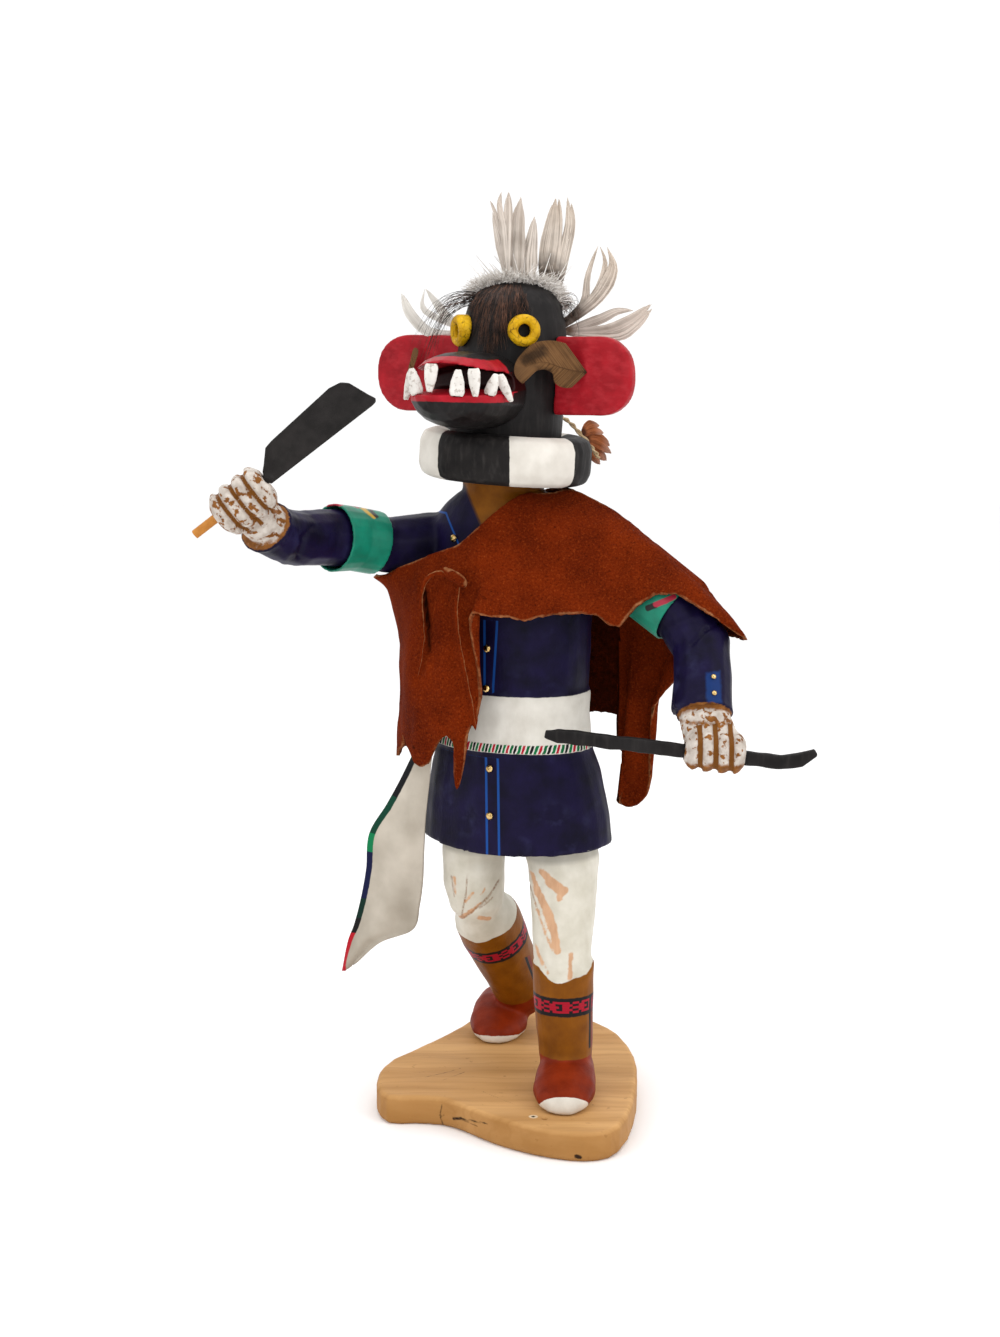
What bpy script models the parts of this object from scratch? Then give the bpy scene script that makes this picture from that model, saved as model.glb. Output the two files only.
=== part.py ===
# Kachina doll: a carved ogre figure striding on a flat wooden base, with a knife in its raised
# right hand, a bow stick in its left, a suede cape, feathers, fur and hair.
# Frame: +Z up, the viewer stands on the -Y side, origin at the middle of the base's underside.
# The figure is free form: its stations are in 355ths of its own height, and their z counts from
# SOLE_LEVEL below the soles. Walls, bores, the base and loose fittings have sizes of their own.
import math

import bpy
import bmesh
from mathutils import Matrix, Vector
from mathutils.bvhtree import BVHTree

# Driving dimensions, in metres
FIGURE_HEIGHT = 0.355
BASE_WIDTH = 0.1185
BASE_LENGTH = 0.169
BASE_THICKNESS = 0.013
BASE_EDGE_ROUND = 0.0016
NAIL_HOLE_DIAMETER = 0.0026
NAIL_HOLE_DEPTH = 0.004
NAIL_HOLE_AT = (0.13, -0.40)
HEAD_RADIUS = 0.0242
RUFF_HEIGHT = 0.0214
RUFF_WALL = 0.0125
RUFF_LOOSENESS = 0.001
RUFF_EDGE_ROUND = 0.0055
RUFF_SIDES = 24
EYE_DIAMETER = 0.0137
EYE_HOLE_DIAMETER = 0.0056
EYE_STAND_OUT = 0.0046
EAR_LENGTH_NEAR = 0.0368
EAR_LENGTH_FAR = 0.0405
EAR_HEIGHT = 0.0332
EAR_THICKNESS = 0.0052
SASH_PROUD = 0.0011
SASH_END_THICKNESS = 0.0016
ARMBAND_WIDTH = 0.0236
ARMBAND_FLARE = 0.0012
ARMBAND_THICKNESS = 0.001
ARMBAND_LOOSENESS = 0.0006
CAPE_THICKNESS = 0.0015
CAPE_CLEARANCE = 0.0013
KNIFE_HANDLE_DIAMETER = 0.004
KNIFE_HANDLE_LENGTH = 0.0385
BLADE_LENGTH = 0.0547
BLADE_WIDTH = 0.0165
BLADE_THICKNESS = 0.002
STICK_HEIGHT = 0.0062
STICK_DEPTH = 0.0046
BUTTON_DIAMETER = 0.0038
BUTTON_HEIGHT = 0.0013
CUFF_PIN_DIAMETER = 0.0026
FUR_TUFTS = 14
FEATHER_THICKNESS = 0.0008
QUILL_DIAMETER = 0.0014
THONG_DIAMETER = 0.0021
FIT_GAP = 0.0003
MERGE_DISTANCE = 0.00001

U = FIGURE_HEIGHT / 355.0
SOLE_LEVEL = 13.0
TORSO_TURN = math.radians(26)
HEAD_TURN = math.radians(29)
RUFF_TILT = math.radians(4)
FRONT = Vector((-math.sin(TORSO_TURN), -math.cos(TORSO_TURN), 0))
ACROSS = Vector((math.cos(TORSO_TURN), -math.sin(TORSO_TURN), 0))
FACE = Vector((-math.sin(HEAD_TURN), -math.cos(HEAD_TURN), 0))
FACE_ACROSS = Vector((math.cos(HEAD_TURN), -math.sin(HEAD_TURN), 0))
UP = Vector((0, 0, 1))

# Torso in its blue tunic: x, y, z, half width, half depth
TORSO = (
    (3.7, -5, 119.2, 44.6, 28.0),
    (3.5, -5, 136, 43.4, 27.6),
    (3.0, -5, 155, 39.5, 26.8),
    (2.2, -5, 168, 34.8, 26.2),
    (2.0, -5, 180, 33.6, 25.8),
    (1.6, -5, 200, 35.4, 25.8),
    (0.8, -5, 225, 37.4, 25.6),
    (0.0, -5, 250, 38.0, 24.0),
    (-1.0, -5, 264, 35.0, 21.0),
    (-2.0, -5, 272, 27.0, 18.0),
    (-2.6, -5, 277, 20.0, 16.5),
)
SASH_BOTTOM, SASH_TOP = 165.5, 190.5
HEM_RISE = 3.2
NECK = ((-2.6, -5, 262, 17.0), (-2.6, -5, 276, 18.2), (-2.6, -5.5, 283, 18.0), (-2.2, -6, 289.5, 17.0))

# Limbs: x, y, z, radius
LEG_LEFT = (
    (18, -8, 140, 17.5), (24.5, -15, 113, 16.2), (24, -22, 90, 14.2), (23.7, -28, 68, 12.4),
    (24, -29, 50, 11),
)
BOOT_LEFT = ((24, -28.3, 71, 13.9), (24.3, -29, 50, 13.1), (25.3, -29, 28.5, 12), (25.3, -28, 22, 10.4))
THIGH_RIGHT = (
    (-12, 0, 140, 17), (-16, 4, 113, 14.4), (-15.8, 5, 98, 14.0), (-14.5, 6, 88, 12.5), (-14, 7, 81, 7.5),
)
CALF_RIGHT = ((-15.5, 4, 87, 8), (-11.5, 15, 80, 14.2), (-7.3, 25, 71, 14.5), (0, 40, 50, 12))
BOOT_RIGHT = (
    (-10.7, 18.4, 79.4, 15.2), (-7.3, 25, 70, 15.5), (0, 39, 50, 13.8), (6.5, 52.5, 31, 12.2),
    (7.5, 56, 26, 10.4),
)
ARM_RIGHT = (
    (-16, 5, 253.5, 14.2), (-36, 5, 253.5, 13.8), (-54, -3, 253.5, 12.4), (-68, -13, 257.3, 12.5),
    (-82, -26, 259.3, 11.9), (-90, -37, 260, 11.5), (-97, -48, 263, 11), (-103, -58, 268, 10.8),
)
ARM_LEFT = (
    (18, -12, 251, 14.0), (38, -20, 251, 13.6), (52, -29.6, 243.8, 13.0), (63.5, -37, 235.2, 12.8),
    (74.5, -44, 227, 12.6), (81, -52, 216, 12.2), (81, -61, 203, 11.8), (80, -68, 190.5, 12.8),
)

# Feet: heel, toe tip, then the sections from heel to toe: share of the length, half width, height
FOOT_LEFT = ((27.5, -10), (22.7, -65.6))
FOOT_RIGHT = ((-0.5, 79.5), (-6.6, 28.4))
FOOT_SECTIONS = (
    (0.0, 5.5, 9), (0.08, 10, 16), (0.3, 12.2, 18), (0.5, 13.4, 17.5), (0.7, 14.1, 14),
    (0.87, 11.2, 10), (0.97, 6.5, 7), (1.0, 3, 4),
)

# Hands: the fists close round the knife's handle and the bow stick
KNIFE_START = (-98.6, -72, 288.5)
KNIFE_ALONG = Vector((0.794, 0, 0.607)).normalized()
FIST_RIGHT_LENGTH, FIST_RIGHT_MIDDLE = 26.0, -14.0
FIST_RIGHT_DROP = 1.3
STICK_PATH = (
    (14.5, 183.6), (20, 182.9), (40, 180.4), (69, 177), (84.5, 175.1), (100, 173.2),
    (112, 171.9), (120, 172.6), (126.5, 176),
)
STICK_Y = -80.0
FIST_LEFT = (84.5, STICK_Y, 176.6)
FIST_LEFT_LENGTH = 25.6
BACK_OF_HAND_LEFT = (
    (80, -66.5, 193.5, 10.6, 9.4), (81.5, -72.5, 187.5, 11.4, 8.4), (84, -78.5, 180, 12.4, 6.5),
)

# Eyes: name, turn from the viewer's side, level
EYES = (("eye_near", math.radians(10), 347.4), ("eye_far", math.radians(-68), 347.2))
EYE_AXIS = (1.9, -8)

# Mask: x, y, z, share of HEAD_RADIUS
HEAD_ROWS = (
    (-1.6, -7.0, 290.0, 0.98), (-1.4, -7.2, 302, 1.0), (0.2, -7.6, 325, 1.0), (1.4, -8, 340, 0.975),
    (2.0, -8, 350, 0.925), (2.4, -8, 358, 0.83), (2.5, -8, 363.5, 0.67), (2.5, -8, 366.6, 0.45),
    (2.5, -8, 368, 0.2),
)

# Ears: level of the lower edge, and how far from the mask's middle the root is
EAR_LEVEL = 311.6
EAR_ROOT = 12.0
EAR_CORNER = 0.44
EAR_EDGE_BEVEL = 0.0007

# Ruff: middle of the ring
RUFF_CENTRE = (-1.6, -7.0, 292.9)


def place(x, y, z):
    return Vector((x * U, y * U, BASE_THICKNESS + FIT_GAP + (z - SOLE_LEVEL) * U))


def smooth_rows(rows, steps):
    # Catmull-Rom curve through rows of numbers, with `steps` new rows for each span
    made, last = [], len(rows) - 1
    for i in range(last):
        around = (rows[max(i - 1, 0)], rows[i], rows[i + 1], rows[min(i + 2, last)])
        for k in range(steps):
            t = k / steps
            made.append([
                0.5 * (2 * b + (c - a) * t + (2 * a - 5 * b + 4 * c - d) * t * t
                       + (3 * b - a - 3 * c + d) * t ** 3)
                for a, b, c, d in zip(*around)
            ])
    return made + [list(rows[last])]


def clear_scene():
    for obj in list(bpy.data.objects):
        bpy.data.objects.remove(obj, do_unlink=True)


def finish(name, colour, roughness, metallic=0.0):
    made = bpy.data.materials.new(name)
    made.use_nodes = True
    shader = made.node_tree.nodes["Principled BSDF"]
    shader.inputs["Base Color"].default_value = (*colour, 1)
    shader.inputs["Roughness"].default_value = roughness
    shader.inputs["Metallic"].default_value = metallic
    made.diffuse_color = (*colour, 1)
    return made


def solid(name, bm, material):
    bmesh.ops.remove_doubles(bm, verts=bm.verts, dist=MERGE_DISTANCE)
    bmesh.ops.recalc_face_normals(bm, faces=bm.faces)
    mesh = bpy.data.meshes.new(name)
    bm.to_mesh(mesh)
    bm.free()
    mesh.materials.append(material)
    mesh.shade_smooth()
    mesh.set_sharp_from_angle(angle=math.radians(40))
    obj = bpy.data.objects.new(name, mesh)
    bpy.context.scene.collection.objects.link(obj)
    return obj


def oval(centre, side, other, half_side, half_other, count, power=2.0):
    # A ring of points: a circle, an ellipse, or a squarer one where power is over 2
    points = []
    for i in range(count):
        c, s = math.cos(2 * math.pi * i / count), math.sin(2 * math.pi * i / count)
        a = math.copysign(abs(c) ** (2 / power), c) * half_side
        b = math.copysign(abs(s) ** (2 / power), s) * half_other
        points.append(centre + side * a + other * b)
    return points


def loft(name, rings, material, loop=False):
    bm = bmesh.new()
    loops = [[bm.verts.new(p) for p in ring] for ring in rings]
    pairs = list(zip(loops, loops[1:]))
    if loop:
        pairs.append((loops[-1], loops[0]))
    count = len(rings[0])
    for low, high in pairs:
        for i in range(count):
            j = (i + 1) % count
            bm.faces.new((low[i], low[j], high[j], high[i]))
    if not loop:
        bm.faces.new(reversed(loops[0]))
        bm.faces.new(loops[-1])
    return solid(name, bm, material)


def limb_rings(path, count, steps, grow=0.0):
    # Round rings across a path of x, y, z, radius
    rows = smooth_rows(path, steps)
    centres = [place(*row[:3]) for row in rows]
    first = (centres[1] - centres[0]).normalized()
    side = UP if abs(first.x) > abs(first.z) else Vector((1, 0, 0))
    rings = []
    for i, row in enumerate(rows):
        along = (centres[min(i + 1, len(rows) - 1)] - centres[max(i - 1, 0)]).normalized()
        other = along.cross(side).normalized()
        side = other.cross(along).normalized()
        radius = row[3] * U + grow
        rings.append(oval(centres[i], side, other, radius, radius, count))
    return rings


def evaluated_mesh(obj):
    bpy.context.view_layer.update()
    graph = bpy.context.evaluated_depsgraph_get()
    return bpy.data.meshes.new_from_object(obj.evaluated_get(graph))


def boolean(obj, other, operation):
    step = obj.modifiers.new(operation.lower(), "BOOLEAN")
    step.operation = operation
    step.solver = "EXACT"
    step.object = other
    mesh = evaluated_mesh(obj)
    obj.modifiers.clear()
    old, obj.data = obj.data, mesh
    bpy.data.meshes.remove(old)
    bpy.data.objects.remove(other, do_unlink=True)
    return obj


def merge_points(obj):
    # Joins the near-doubled points that a Boolean leaves
    bm = bmesh.new()
    bm.from_mesh(obj.data)
    bmesh.ops.remove_doubles(bm, verts=bm.verts, dist=MERGE_DISTANCE)
    bmesh.ops.dissolve_degenerate(bm, edges=bm.edges, dist=MERGE_DISTANCE)
    bm.to_mesh(obj.data)
    bm.free()
    return obj


def surface_of(objects):
    # One search tree over the triangles of several objects
    points, faces = [], []
    for obj in objects:
        mesh = obj.data
        mesh.calc_loop_triangles()
        start = len(points)
        points += [obj.matrix_world @ v.co for v in mesh.vertices]
        faces += [tuple(start + i for i in t.vertices) for t in mesh.loop_triangles]
    return BVHTree.FromPolygons(points, faces)


def torso_row(z):
    for low, high in zip(TORSO, TORSO[1:]):
        if z <= high[2]:
            t = (z - low[2]) / (high[2] - low[2])
            return [a + (b - a) * t for a, b in zip(low, high)]
    return list(TORSO[-1])


def torso_ring(row, grow, count):
    # The tunic's hem rises a little at both sides
    wide, deep = row[3] * U + grow, row[4] * U + grow
    ring = oval(place(*row[:3]), ACROSS, FRONT, wide, deep, count, 2.15)
    rise = HEM_RISE * U * max(0.0, 1 - (row[2] - TORSO[0][2]) / (TORSO[1][2] - TORSO[0][2]))
    centre = place(*row[:3])
    return [p + UP * rise * ((p - centre).dot(ACROSS) / wide) ** 2 for p in ring]


def torso_form(name, grow, material):
    rows = [list(row) for row in TORSO]
    if grow:
        rows[0][2] -= grow / U
        rows[-1][2] += grow / U
    return loft(name, [torso_ring(row, grow, 26) for row in rows], material)


def cuff_rings(path, count, wave, lobes, dip):
    # A boot top: outer rings down the leg, and a waved rim that dips at the front and turns in to
    # meet the leg
    rings = limb_rings(path, count, 1)
    rim, below = rings[0], rings[1]
    middle = sum(rim, Vector()) / count
    lower = sum(below, Vector()) / count
    along = (middle - lower).normalized()
    inner = []
    for i in range(count):
        turn = 2 * math.pi * i / count
        level = wave * math.cos(lobes * turn) - dip * max(0.0, math.sin(turn)) ** 2
        lift = along * level * U
        rim[i] = rim[i] + lift
        inner.append(middle + lift + (rim[i] - lift - middle) * 0.72)
    return [inner, *rings]


def foot(name, heel, toe, material):
    start, end = place(*heel, SOLE_LEVEL), place(*toe, SOLE_LEVEL)
    forward = end - start
    across = forward.cross(UP).normalized()
    rings = []
    for share, half, height in FOOT_SECTIONS:
        centre = start + forward * share + UP * height * U * 0.42
        ring = oval(centre, across, UP, half * U, height * U * 0.58, 14, 2.4)
        rings.append([Vector((p.x, p.y, max(p.z, start.z))) for p in ring])
    return loft(name, rings, material)


def fist_rings(middle, along, side, length, half_side, half_other):
    # Four fingers closed round a stick: one bulge for each finger, with a cut between two
    other = along.cross(side).normalized()
    rings, fingers, steps = [], 4, 3
    for i in range(fingers * steps + 1):
        t = i / (fingers * steps)
        bulge = abs(math.sin(math.pi * fingers * t))
        end = min(1.0, 0.66 + 2.6 * min(t, 1 - t))
        size = (0.86 + 0.15 * bulge) * end
        centre = middle + along * (t - 0.5) * length * U
        rings.append(oval(centre, side, other, half_side * U * size, half_other * U * size, 12, 2.5))
    return rings


def stick_rings(grow, reach=0.0):
    rows = STICK_PATH
    if reach:
        rows = [row for row in rows if abs(row[0] - FIST_LEFT[0]) < reach]
    centres = [place(x, STICK_Y, z) for x, z in rows]
    rings = []
    for i, centre in enumerate(centres):
        along = (centres[min(i + 1, len(rows) - 1)] - centres[max(i - 1, 0)]).normalized()
        thin = 0.55 if i in (0, len(rows) - 1) and not grow else 1.0
        high = along.cross(Vector((0, 1, 0))).normalized()
        tall, deep = STICK_HEIGHT / 2 * thin + grow, STICK_DEPTH / 2 * thin + grow
        rings.append(oval(centre, high, Vector((0, 1, 0)), tall, deep, 12, 3.2))
    return rings


def handle_rings(grow, start, end):
    along, side = KNIFE_ALONG, Vector((0, 1, 0))
    other = along.cross(side)
    base = place(*KNIFE_START)
    radius = KNIFE_HANDLE_DIAMETER / 2 + grow
    return [oval(base + along * s, side, other, radius, radius, 12) for s in (start, end)]


def build_base(wood):
    # Outline as shares of the width and the length, counter-clockwise from the front right
    outline = (
        (0.320, -0.497), (0.398, -0.444), (0.460, -0.284), (0.492, -0.080), (0.496, 0.095), (0.447, 0.272),
        (0.372, 0.367), (0.253, 0.456), (0.101, 0.498), (-0.034, 0.492), (-0.120, 0.455), (-0.195, 0.343),
        (-0.315, 0.200), (-0.457, 0.059), (-0.500, -0.047), (-0.500, -0.160), (-0.455, -0.237),
        (-0.355, -0.243), (-0.253, -0.254), (-0.174, -0.302), (-0.052, -0.390), (0.075, -0.459),
        (0.210, -0.499),
    )
    count = len(outline)
    closed = [outline[(i - 1) % count] for i in range(count + 3)]
    rows = smooth_rows(closed, 2)[2:-3]
    bm = bmesh.new()
    loop = [bm.verts.new((x * BASE_WIDTH, y * BASE_LENGTH, 0)) for x, y in rows]
    face = bm.faces.new(loop)
    side = bmesh.ops.extrude_face_region(bm, geom=[face])["geom"]
    raised = [v for v in side if isinstance(v, bmesh.types.BMVert)]
    bmesh.ops.translate(bm, verts=raised, vec=(0, 0, BASE_THICKNESS))
    edges = [e for e in bm.edges if abs(e.verts[0].co.z - e.verts[1].co.z) < 0.0001]
    bmesh.ops.bevel(bm, geom=edges, offset=BASE_EDGE_ROUND, segments=1, profile=0.5, affect="EDGES")
    base = solid("base", bm, wood)
    drill = []
    radius = NAIL_HOLE_DIAMETER / 2
    for depth in (NAIL_HOLE_DEPTH, -NAIL_HOLE_DEPTH):
        centre = Vector((NAIL_HOLE_AT[0] * BASE_WIDTH, NAIL_HOLE_AT[1] * BASE_LENGTH, BASE_THICKNESS - depth))
        drill.append(oval(centre, Vector((1, 0, 0)), Vector((0, 1, 0)), radius, radius, 10))
    return boolean(base, loft("nail_hole", drill, wood), "DIFFERENCE")


def build_body(paint):
    # Torso, neck, sash band, legs, boots and moccasins, carved in one
    body = torso_form("body", 0, paint)
    levels = (SASH_BOTTOM - 0.6, SASH_BOTTOM, 168.0, 180.0, SASH_TOP, SASH_TOP + 0.6)
    grows = (-SASH_PROUD, SASH_PROUD, SASH_PROUD, SASH_PROUD, SASH_PROUD, -SASH_PROUD)
    band = loft("sash_band", [torso_ring(torso_row(z), grow, 26) for z, grow in zip(levels, grows)], paint)
    parts = [band]
    neck = [oval(place(x, y, z), ACROSS, FRONT, r * U, r * U * 0.93, 20) for x, y, z, r in NECK]
    parts.append(loft("neck", neck, paint))
    parts.append(loft("leg_left", limb_rings(LEG_LEFT, 14, 1), paint))
    parts.append(loft("thigh_right", limb_rings(THIGH_RIGHT, 14, 1), paint))
    parts.append(loft("calf_right", limb_rings(CALF_RIGHT, 14, 2), paint))
    parts.append(loft("boot_left", cuff_rings(BOOT_LEFT, 18, 0.8, 5, 6.0), paint))
    parts.append(loft("boot_right", cuff_rings(BOOT_RIGHT, 18, 0.8, 5, -1.2), paint))
    parts.append(foot("foot_left", *FOOT_LEFT, paint))
    parts.append(foot("foot_right", *FOOT_RIGHT, paint))
    for part in parts:
        boolean(body, part, "UNION")
    return merge_points(body)


def build_arm_right(paint):
    arm = loft("arm_right", limb_rings(ARM_RIGHT, 14, 1), paint)
    side = KNIFE_ALONG.cross(Vector((0, 1, 0))).normalized()
    middle = place(*KNIFE_START) + (KNIFE_ALONG * FIST_RIGHT_MIDDLE - side * FIST_RIGHT_DROP) * U
    fist = fist_rings(middle, KNIFE_ALONG, side, FIST_RIGHT_LENGTH, 11.0, 11.2)
    boolean(arm, loft("fist", fist, paint), "UNION")
    wrist = ((-100, -53, 266.0, 9.2), (-104, -61, 270.5, 9.4), (-108, -68, 276.5, 8.8))
    boolean(arm, loft("wrist", limb_rings(wrist, 12, 1), paint), "UNION")
    thumb = (
        (-103, -72, 277, 3.4), (-100, -76, 281, 3.5), (-98.8, -77.5, 284.6, 3.2), (-98.6, -77.8, 287, 1.8),
    )
    boolean(arm, loft("thumb", limb_rings(thumb, 8, 1), paint), "UNION")
    bore = handle_rings(FIT_GAP, -KNIFE_HANDLE_LENGTH - FIT_GAP, BLADE_LENGTH / 4)
    boolean(arm, loft("bore", bore, paint), "DIFFERENCE")
    return boolean(arm, torso_form("root_cut", FIT_GAP, paint), "DIFFERENCE")


def build_arm_left(paint):
    arm = loft("arm_left", limb_rings(ARM_LEFT, 14, 1), paint)
    along, side = Vector((1, 0, -0.11)).normalized(), Vector((0.11, 0, 1)).normalized()
    fist = fist_rings(place(*FIST_LEFT), along, side, FIST_LEFT_LENGTH, 9.6, 8.8)
    boolean(arm, loft("fist", fist, paint), "UNION")
    hand = []
    through = Vector((0, -0.75, 0.66)).normalized()
    for x, y, z, wide, deep in BACK_OF_HAND_LEFT:
        hand.append(oval(place(x, y, z), Vector((1, 0, 0)), through, wide * U, deep * U, 12, 2.5))
    boolean(arm, loft("back_of_hand", hand, paint), "UNION")
    boolean(arm, loft("bore", stick_rings(FIT_GAP, 17), paint), "DIFFERENCE")
    return boolean(arm, torso_form("root_cut", FIT_GAP, paint), "DIFFERENCE")


def build_armband(name, path, station, flare, leather):
    # A loose band that follows the sleeve across one station of the arm, wider at the hand's end
    middle = path[station]
    ends = []
    for other in (path[station - 1], path[station + 1]):
        share = ARMBAND_WIDTH / 2 / (place(*other[:3]) - place(*middle[:3])).length
        ends.append([m + (o - m) * share for m, o in zip(middle, other)])
    ends[1][3] += flare / U
    band = [ends[0], middle, ends[1]]
    inner = limb_rings(band, 22, 1, ARMBAND_LOOSENESS)
    outer = limb_rings(band, 22, 1, ARMBAND_LOOSENESS + ARMBAND_THICKNESS)
    return loft(name, inner + outer[::-1], leather, loop=True)


def build_knife(wood):
    # Blade outline along and above its lower edge, as shares of its length and width
    outline = (
        (-0.01, 0.0), (0.949, 0.0), (0.985, 0.02), (1.0, 0.10), (0.975, 0.27), (0.912, 0.79),
        (0.865, 0.93), (0.770, 0.99), (0.185, 0.835), (0.122, 0.79), (0.031, 0.48), (-0.01, 0.36),
    )
    side = KNIFE_ALONG.cross(Vector((0, 1, 0))).normalized()
    start = place(*KNIFE_START) - side * KNIFE_HANDLE_DIAMETER * 0.7
    bm = bmesh.new()
    loop = [bm.verts.new(start + KNIFE_ALONG * a * BLADE_LENGTH + side * b * BLADE_WIDTH
                         + Vector((0, BLADE_THICKNESS / 2, 0))) for a, b in outline]
    face = bm.faces.new(loop)
    made = bmesh.ops.extrude_face_region(bm, geom=[face])["geom"]
    far = [v for v in made if isinstance(v, bmesh.types.BMVert)]
    bmesh.ops.translate(bm, verts=far, vec=(0, -BLADE_THICKNESS, 0))
    knife = solid("knife", bm, wood)
    handle = loft("handle", handle_rings(0, -KNIFE_HANDLE_LENGTH, 0.0015), wood)
    return boolean(knife, handle, "UNION")


def head_form(name, grow, material):
    rings = []
    for x, y, z, share in HEAD_ROWS:
        radius = HEAD_RADIUS * share + grow
        lift = grow if z == HEAD_ROWS[-1][2] else -grow if z == HEAD_ROWS[0][2] else 0
        centre = place(x, y, z) + UP * lift
        rings.append(oval(centre, Vector((1, 0, 0)), Vector((0, 1, 0)), radius, radius, 28))
    return loft(name, rings, material)


def face_point(forward, across, z):
    # A point of the mask: forward and across from the head's axis, z as in the stations
    return place(-0.4, -7.6, z) + FACE * forward * U + FACE_ACROSS * across * U


def build_snout(paint):
    rings = []
    for forward, wide, high, z in (
            (15, 18, 15.5, 321.5), (23, 19.3, 16.2, 322), (33, 20.8, 16.5, 322.4), (42, 21.0, 16.1, 322.8),
            (50, 19.4, 14.9, 323), (56.5, 15.9, 12.6, 323.2), (61, 10.8, 9.4, 323.4), (63.6, 5, 5, 323.5)):
        rings.append(oval(face_point(forward, 0, z), FACE_ACROSS, UP, wide * U, high * U, 20, 2.2))
    snout = loft("snout", rings, paint)
    mouth = []
    for across in (-26, -20, -14, -7, 0, 7, 14, 20, 26):
        top, low = 333.6 - 0.0095 * across ** 2, 322.6 - 0.002 * across ** 2
        mouth.append([face_point(f, across, z) for f, z in (
            (31, low + 1.6), (36, low + 0.2), (70, low - 1.2), (70, top + 1.5), (36, top), (31, top - 2))])
    boolean(snout, loft("mouth", mouth, paint), "DIFFERENCE")
    return boolean(snout, head_form("head_cut", FIT_GAP, paint), "DIFFERENCE")


def tooth_form(name, root, tip, wide, deep, grow, material):
    # A carved peg that narrows from its root to its tip
    along = (tip - root).normalized()
    root, tip = root - along * grow, tip + along * grow
    side = along.cross(FACE).normalized()
    other = along.cross(side).normalized()
    rings = []
    for share, size in ((0, 0.8), (0.15, 1.0), (0.55, 0.84), (1.0, 0.3)):
        centre = root + (tip - root) * share
        half_wide, half_deep = wide / 2 * U * size + grow, deep / 2 * U * size + grow
        rings.append(oval(centre, side, other, half_wide, half_deep, 6, 2.4))
    return loft(name, rings, material)


# Teeth: name, root and tip as forward, across, z on the mask, and width
TOOTH_DEPTH = 3.6
TEETH = (
    ("tooth_lower_front", (60.6, 9.2, 321.4), (60.4, 9.9, 332.0), 6.2),
    ("tooth_upper_front", (62.0, -1.8, 334.2), (62.4, -2.6, 322.9), 5.4),
    ("tooth_lower_far", (59.6, -10.2, 321.6), (58.4, -13.6, 332.0), 5.6),
    ("tooth_upper_far", (53.5, -16.0, 331.0), (53.5, -19.4, 319.0), 3.6),
    ("tooth_upper_near", (57.0, 15.2, 332.4), (57.0, 16.0, 321.2), 4.8),
    ("tooth_lower_near", (49.2, 18.2, 321.6), (48.0, 20.6, 330.0), 4.8),
    ("tooth_corner_near", (43.6, 19.6, 329.4), (39.6, 23.2, 318.6), 3.8),
)


def build_teeth(snout, bone):
    for name, root, tip, wide in TEETH:
        ends = face_point(*root), face_point(*tip)
        tooth_form(name, *ends, wide, TOOTH_DEPTH, 0, bone)
        boolean(snout, tooth_form("socket", *ends, wide, TOOTH_DEPTH, FIT_GAP, bone), "DIFFERENCE")


def build_eye(name, turn, z, paint):
    # A turned ring set against the mask: turn is counted from the way the body's viewer looks
    out = Vector((math.sin(turn), -math.cos(turn), 0))
    side = UP.cross(out).normalized()
    radius, hole = EYE_DIAMETER / 2, EYE_HOLE_DIAMETER / 2
    axis = place(*EYE_AXIS, z)
    back, front = HEAD_RADIUS * 0.75, HEAD_RADIUS * 0.94 + EYE_STAND_OUT
    middle = (radius + hole) / 2
    rings = []
    for distance, r in ((back, radius), (front - 0.0014, radius), (front, middle + 0.0008),
                        (front, middle - 0.0008), (front - 0.0012, hole), (back, hole)):
        rings.append(oval(axis + out * distance, side, UP, r, r, 20))
    eye = loft(name, rings, paint, loop=True)
    return boolean(eye, head_form("head_cut", FIT_GAP, paint), "DIFFERENCE")


def eye_cut(turn, z, material):
    out = Vector((math.sin(turn), -math.cos(turn), 0))
    side = UP.cross(out).normalized()
    radius = EYE_DIAMETER / 2 + FIT_GAP
    axis = place(*EYE_AXIS, z)
    ends = [oval(axis + out * reach, side, UP, radius, radius, 20) for reach in (0, HEAD_RADIUS * 1.5)]
    return loft("eye_cut", ends, material)


def build_ear(name, sign, length, paint):
    # A D-shaped board: straight root against the mask, round outer end
    root = face_point(4, sign * EAR_ROOT, EAR_LEVEL)
    out = FACE_ACROSS * sign
    height, corner = EAR_HEIGHT, EAR_HEIGHT * EAR_CORNER
    inset = HEAD_RADIUS - EAR_ROOT * U
    outline = [(0, 0), (0, height)]
    end = inset + length - corner
    for centre, start in (((end, height - corner), 90), ((end, corner), 0)):
        for k in range(7):
            angle = math.radians(start - 15 * k)
            outline.append((centre[0] + corner * math.cos(angle), centre[1] + corner * math.sin(angle)))
    bm = bmesh.new()
    back = -FACE * EAR_THICKNESS
    loop = [bm.verts.new(root + out * a + UP * b) for a, b in outline]
    face = bm.faces.new(loop)
    made = bmesh.ops.extrude_face_region(bm, geom=[face])["geom"]
    bmesh.ops.translate(bm, verts=[v for v in made if isinstance(v, bmesh.types.BMVert)], vec=back)
    edges = [e for e in bm.edges if abs((e.verts[0].co - e.verts[1].co).dot(FACE)) < 0.00001]
    bmesh.ops.bevel(bm, geom=edges, offset=EAR_EDGE_BEVEL, segments=1, profile=0.5, affect="EDGES")
    ear = solid(name, bm, paint)
    return boolean(ear, head_form("head_cut", FIT_GAP, paint), "DIFFERENCE")


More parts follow.
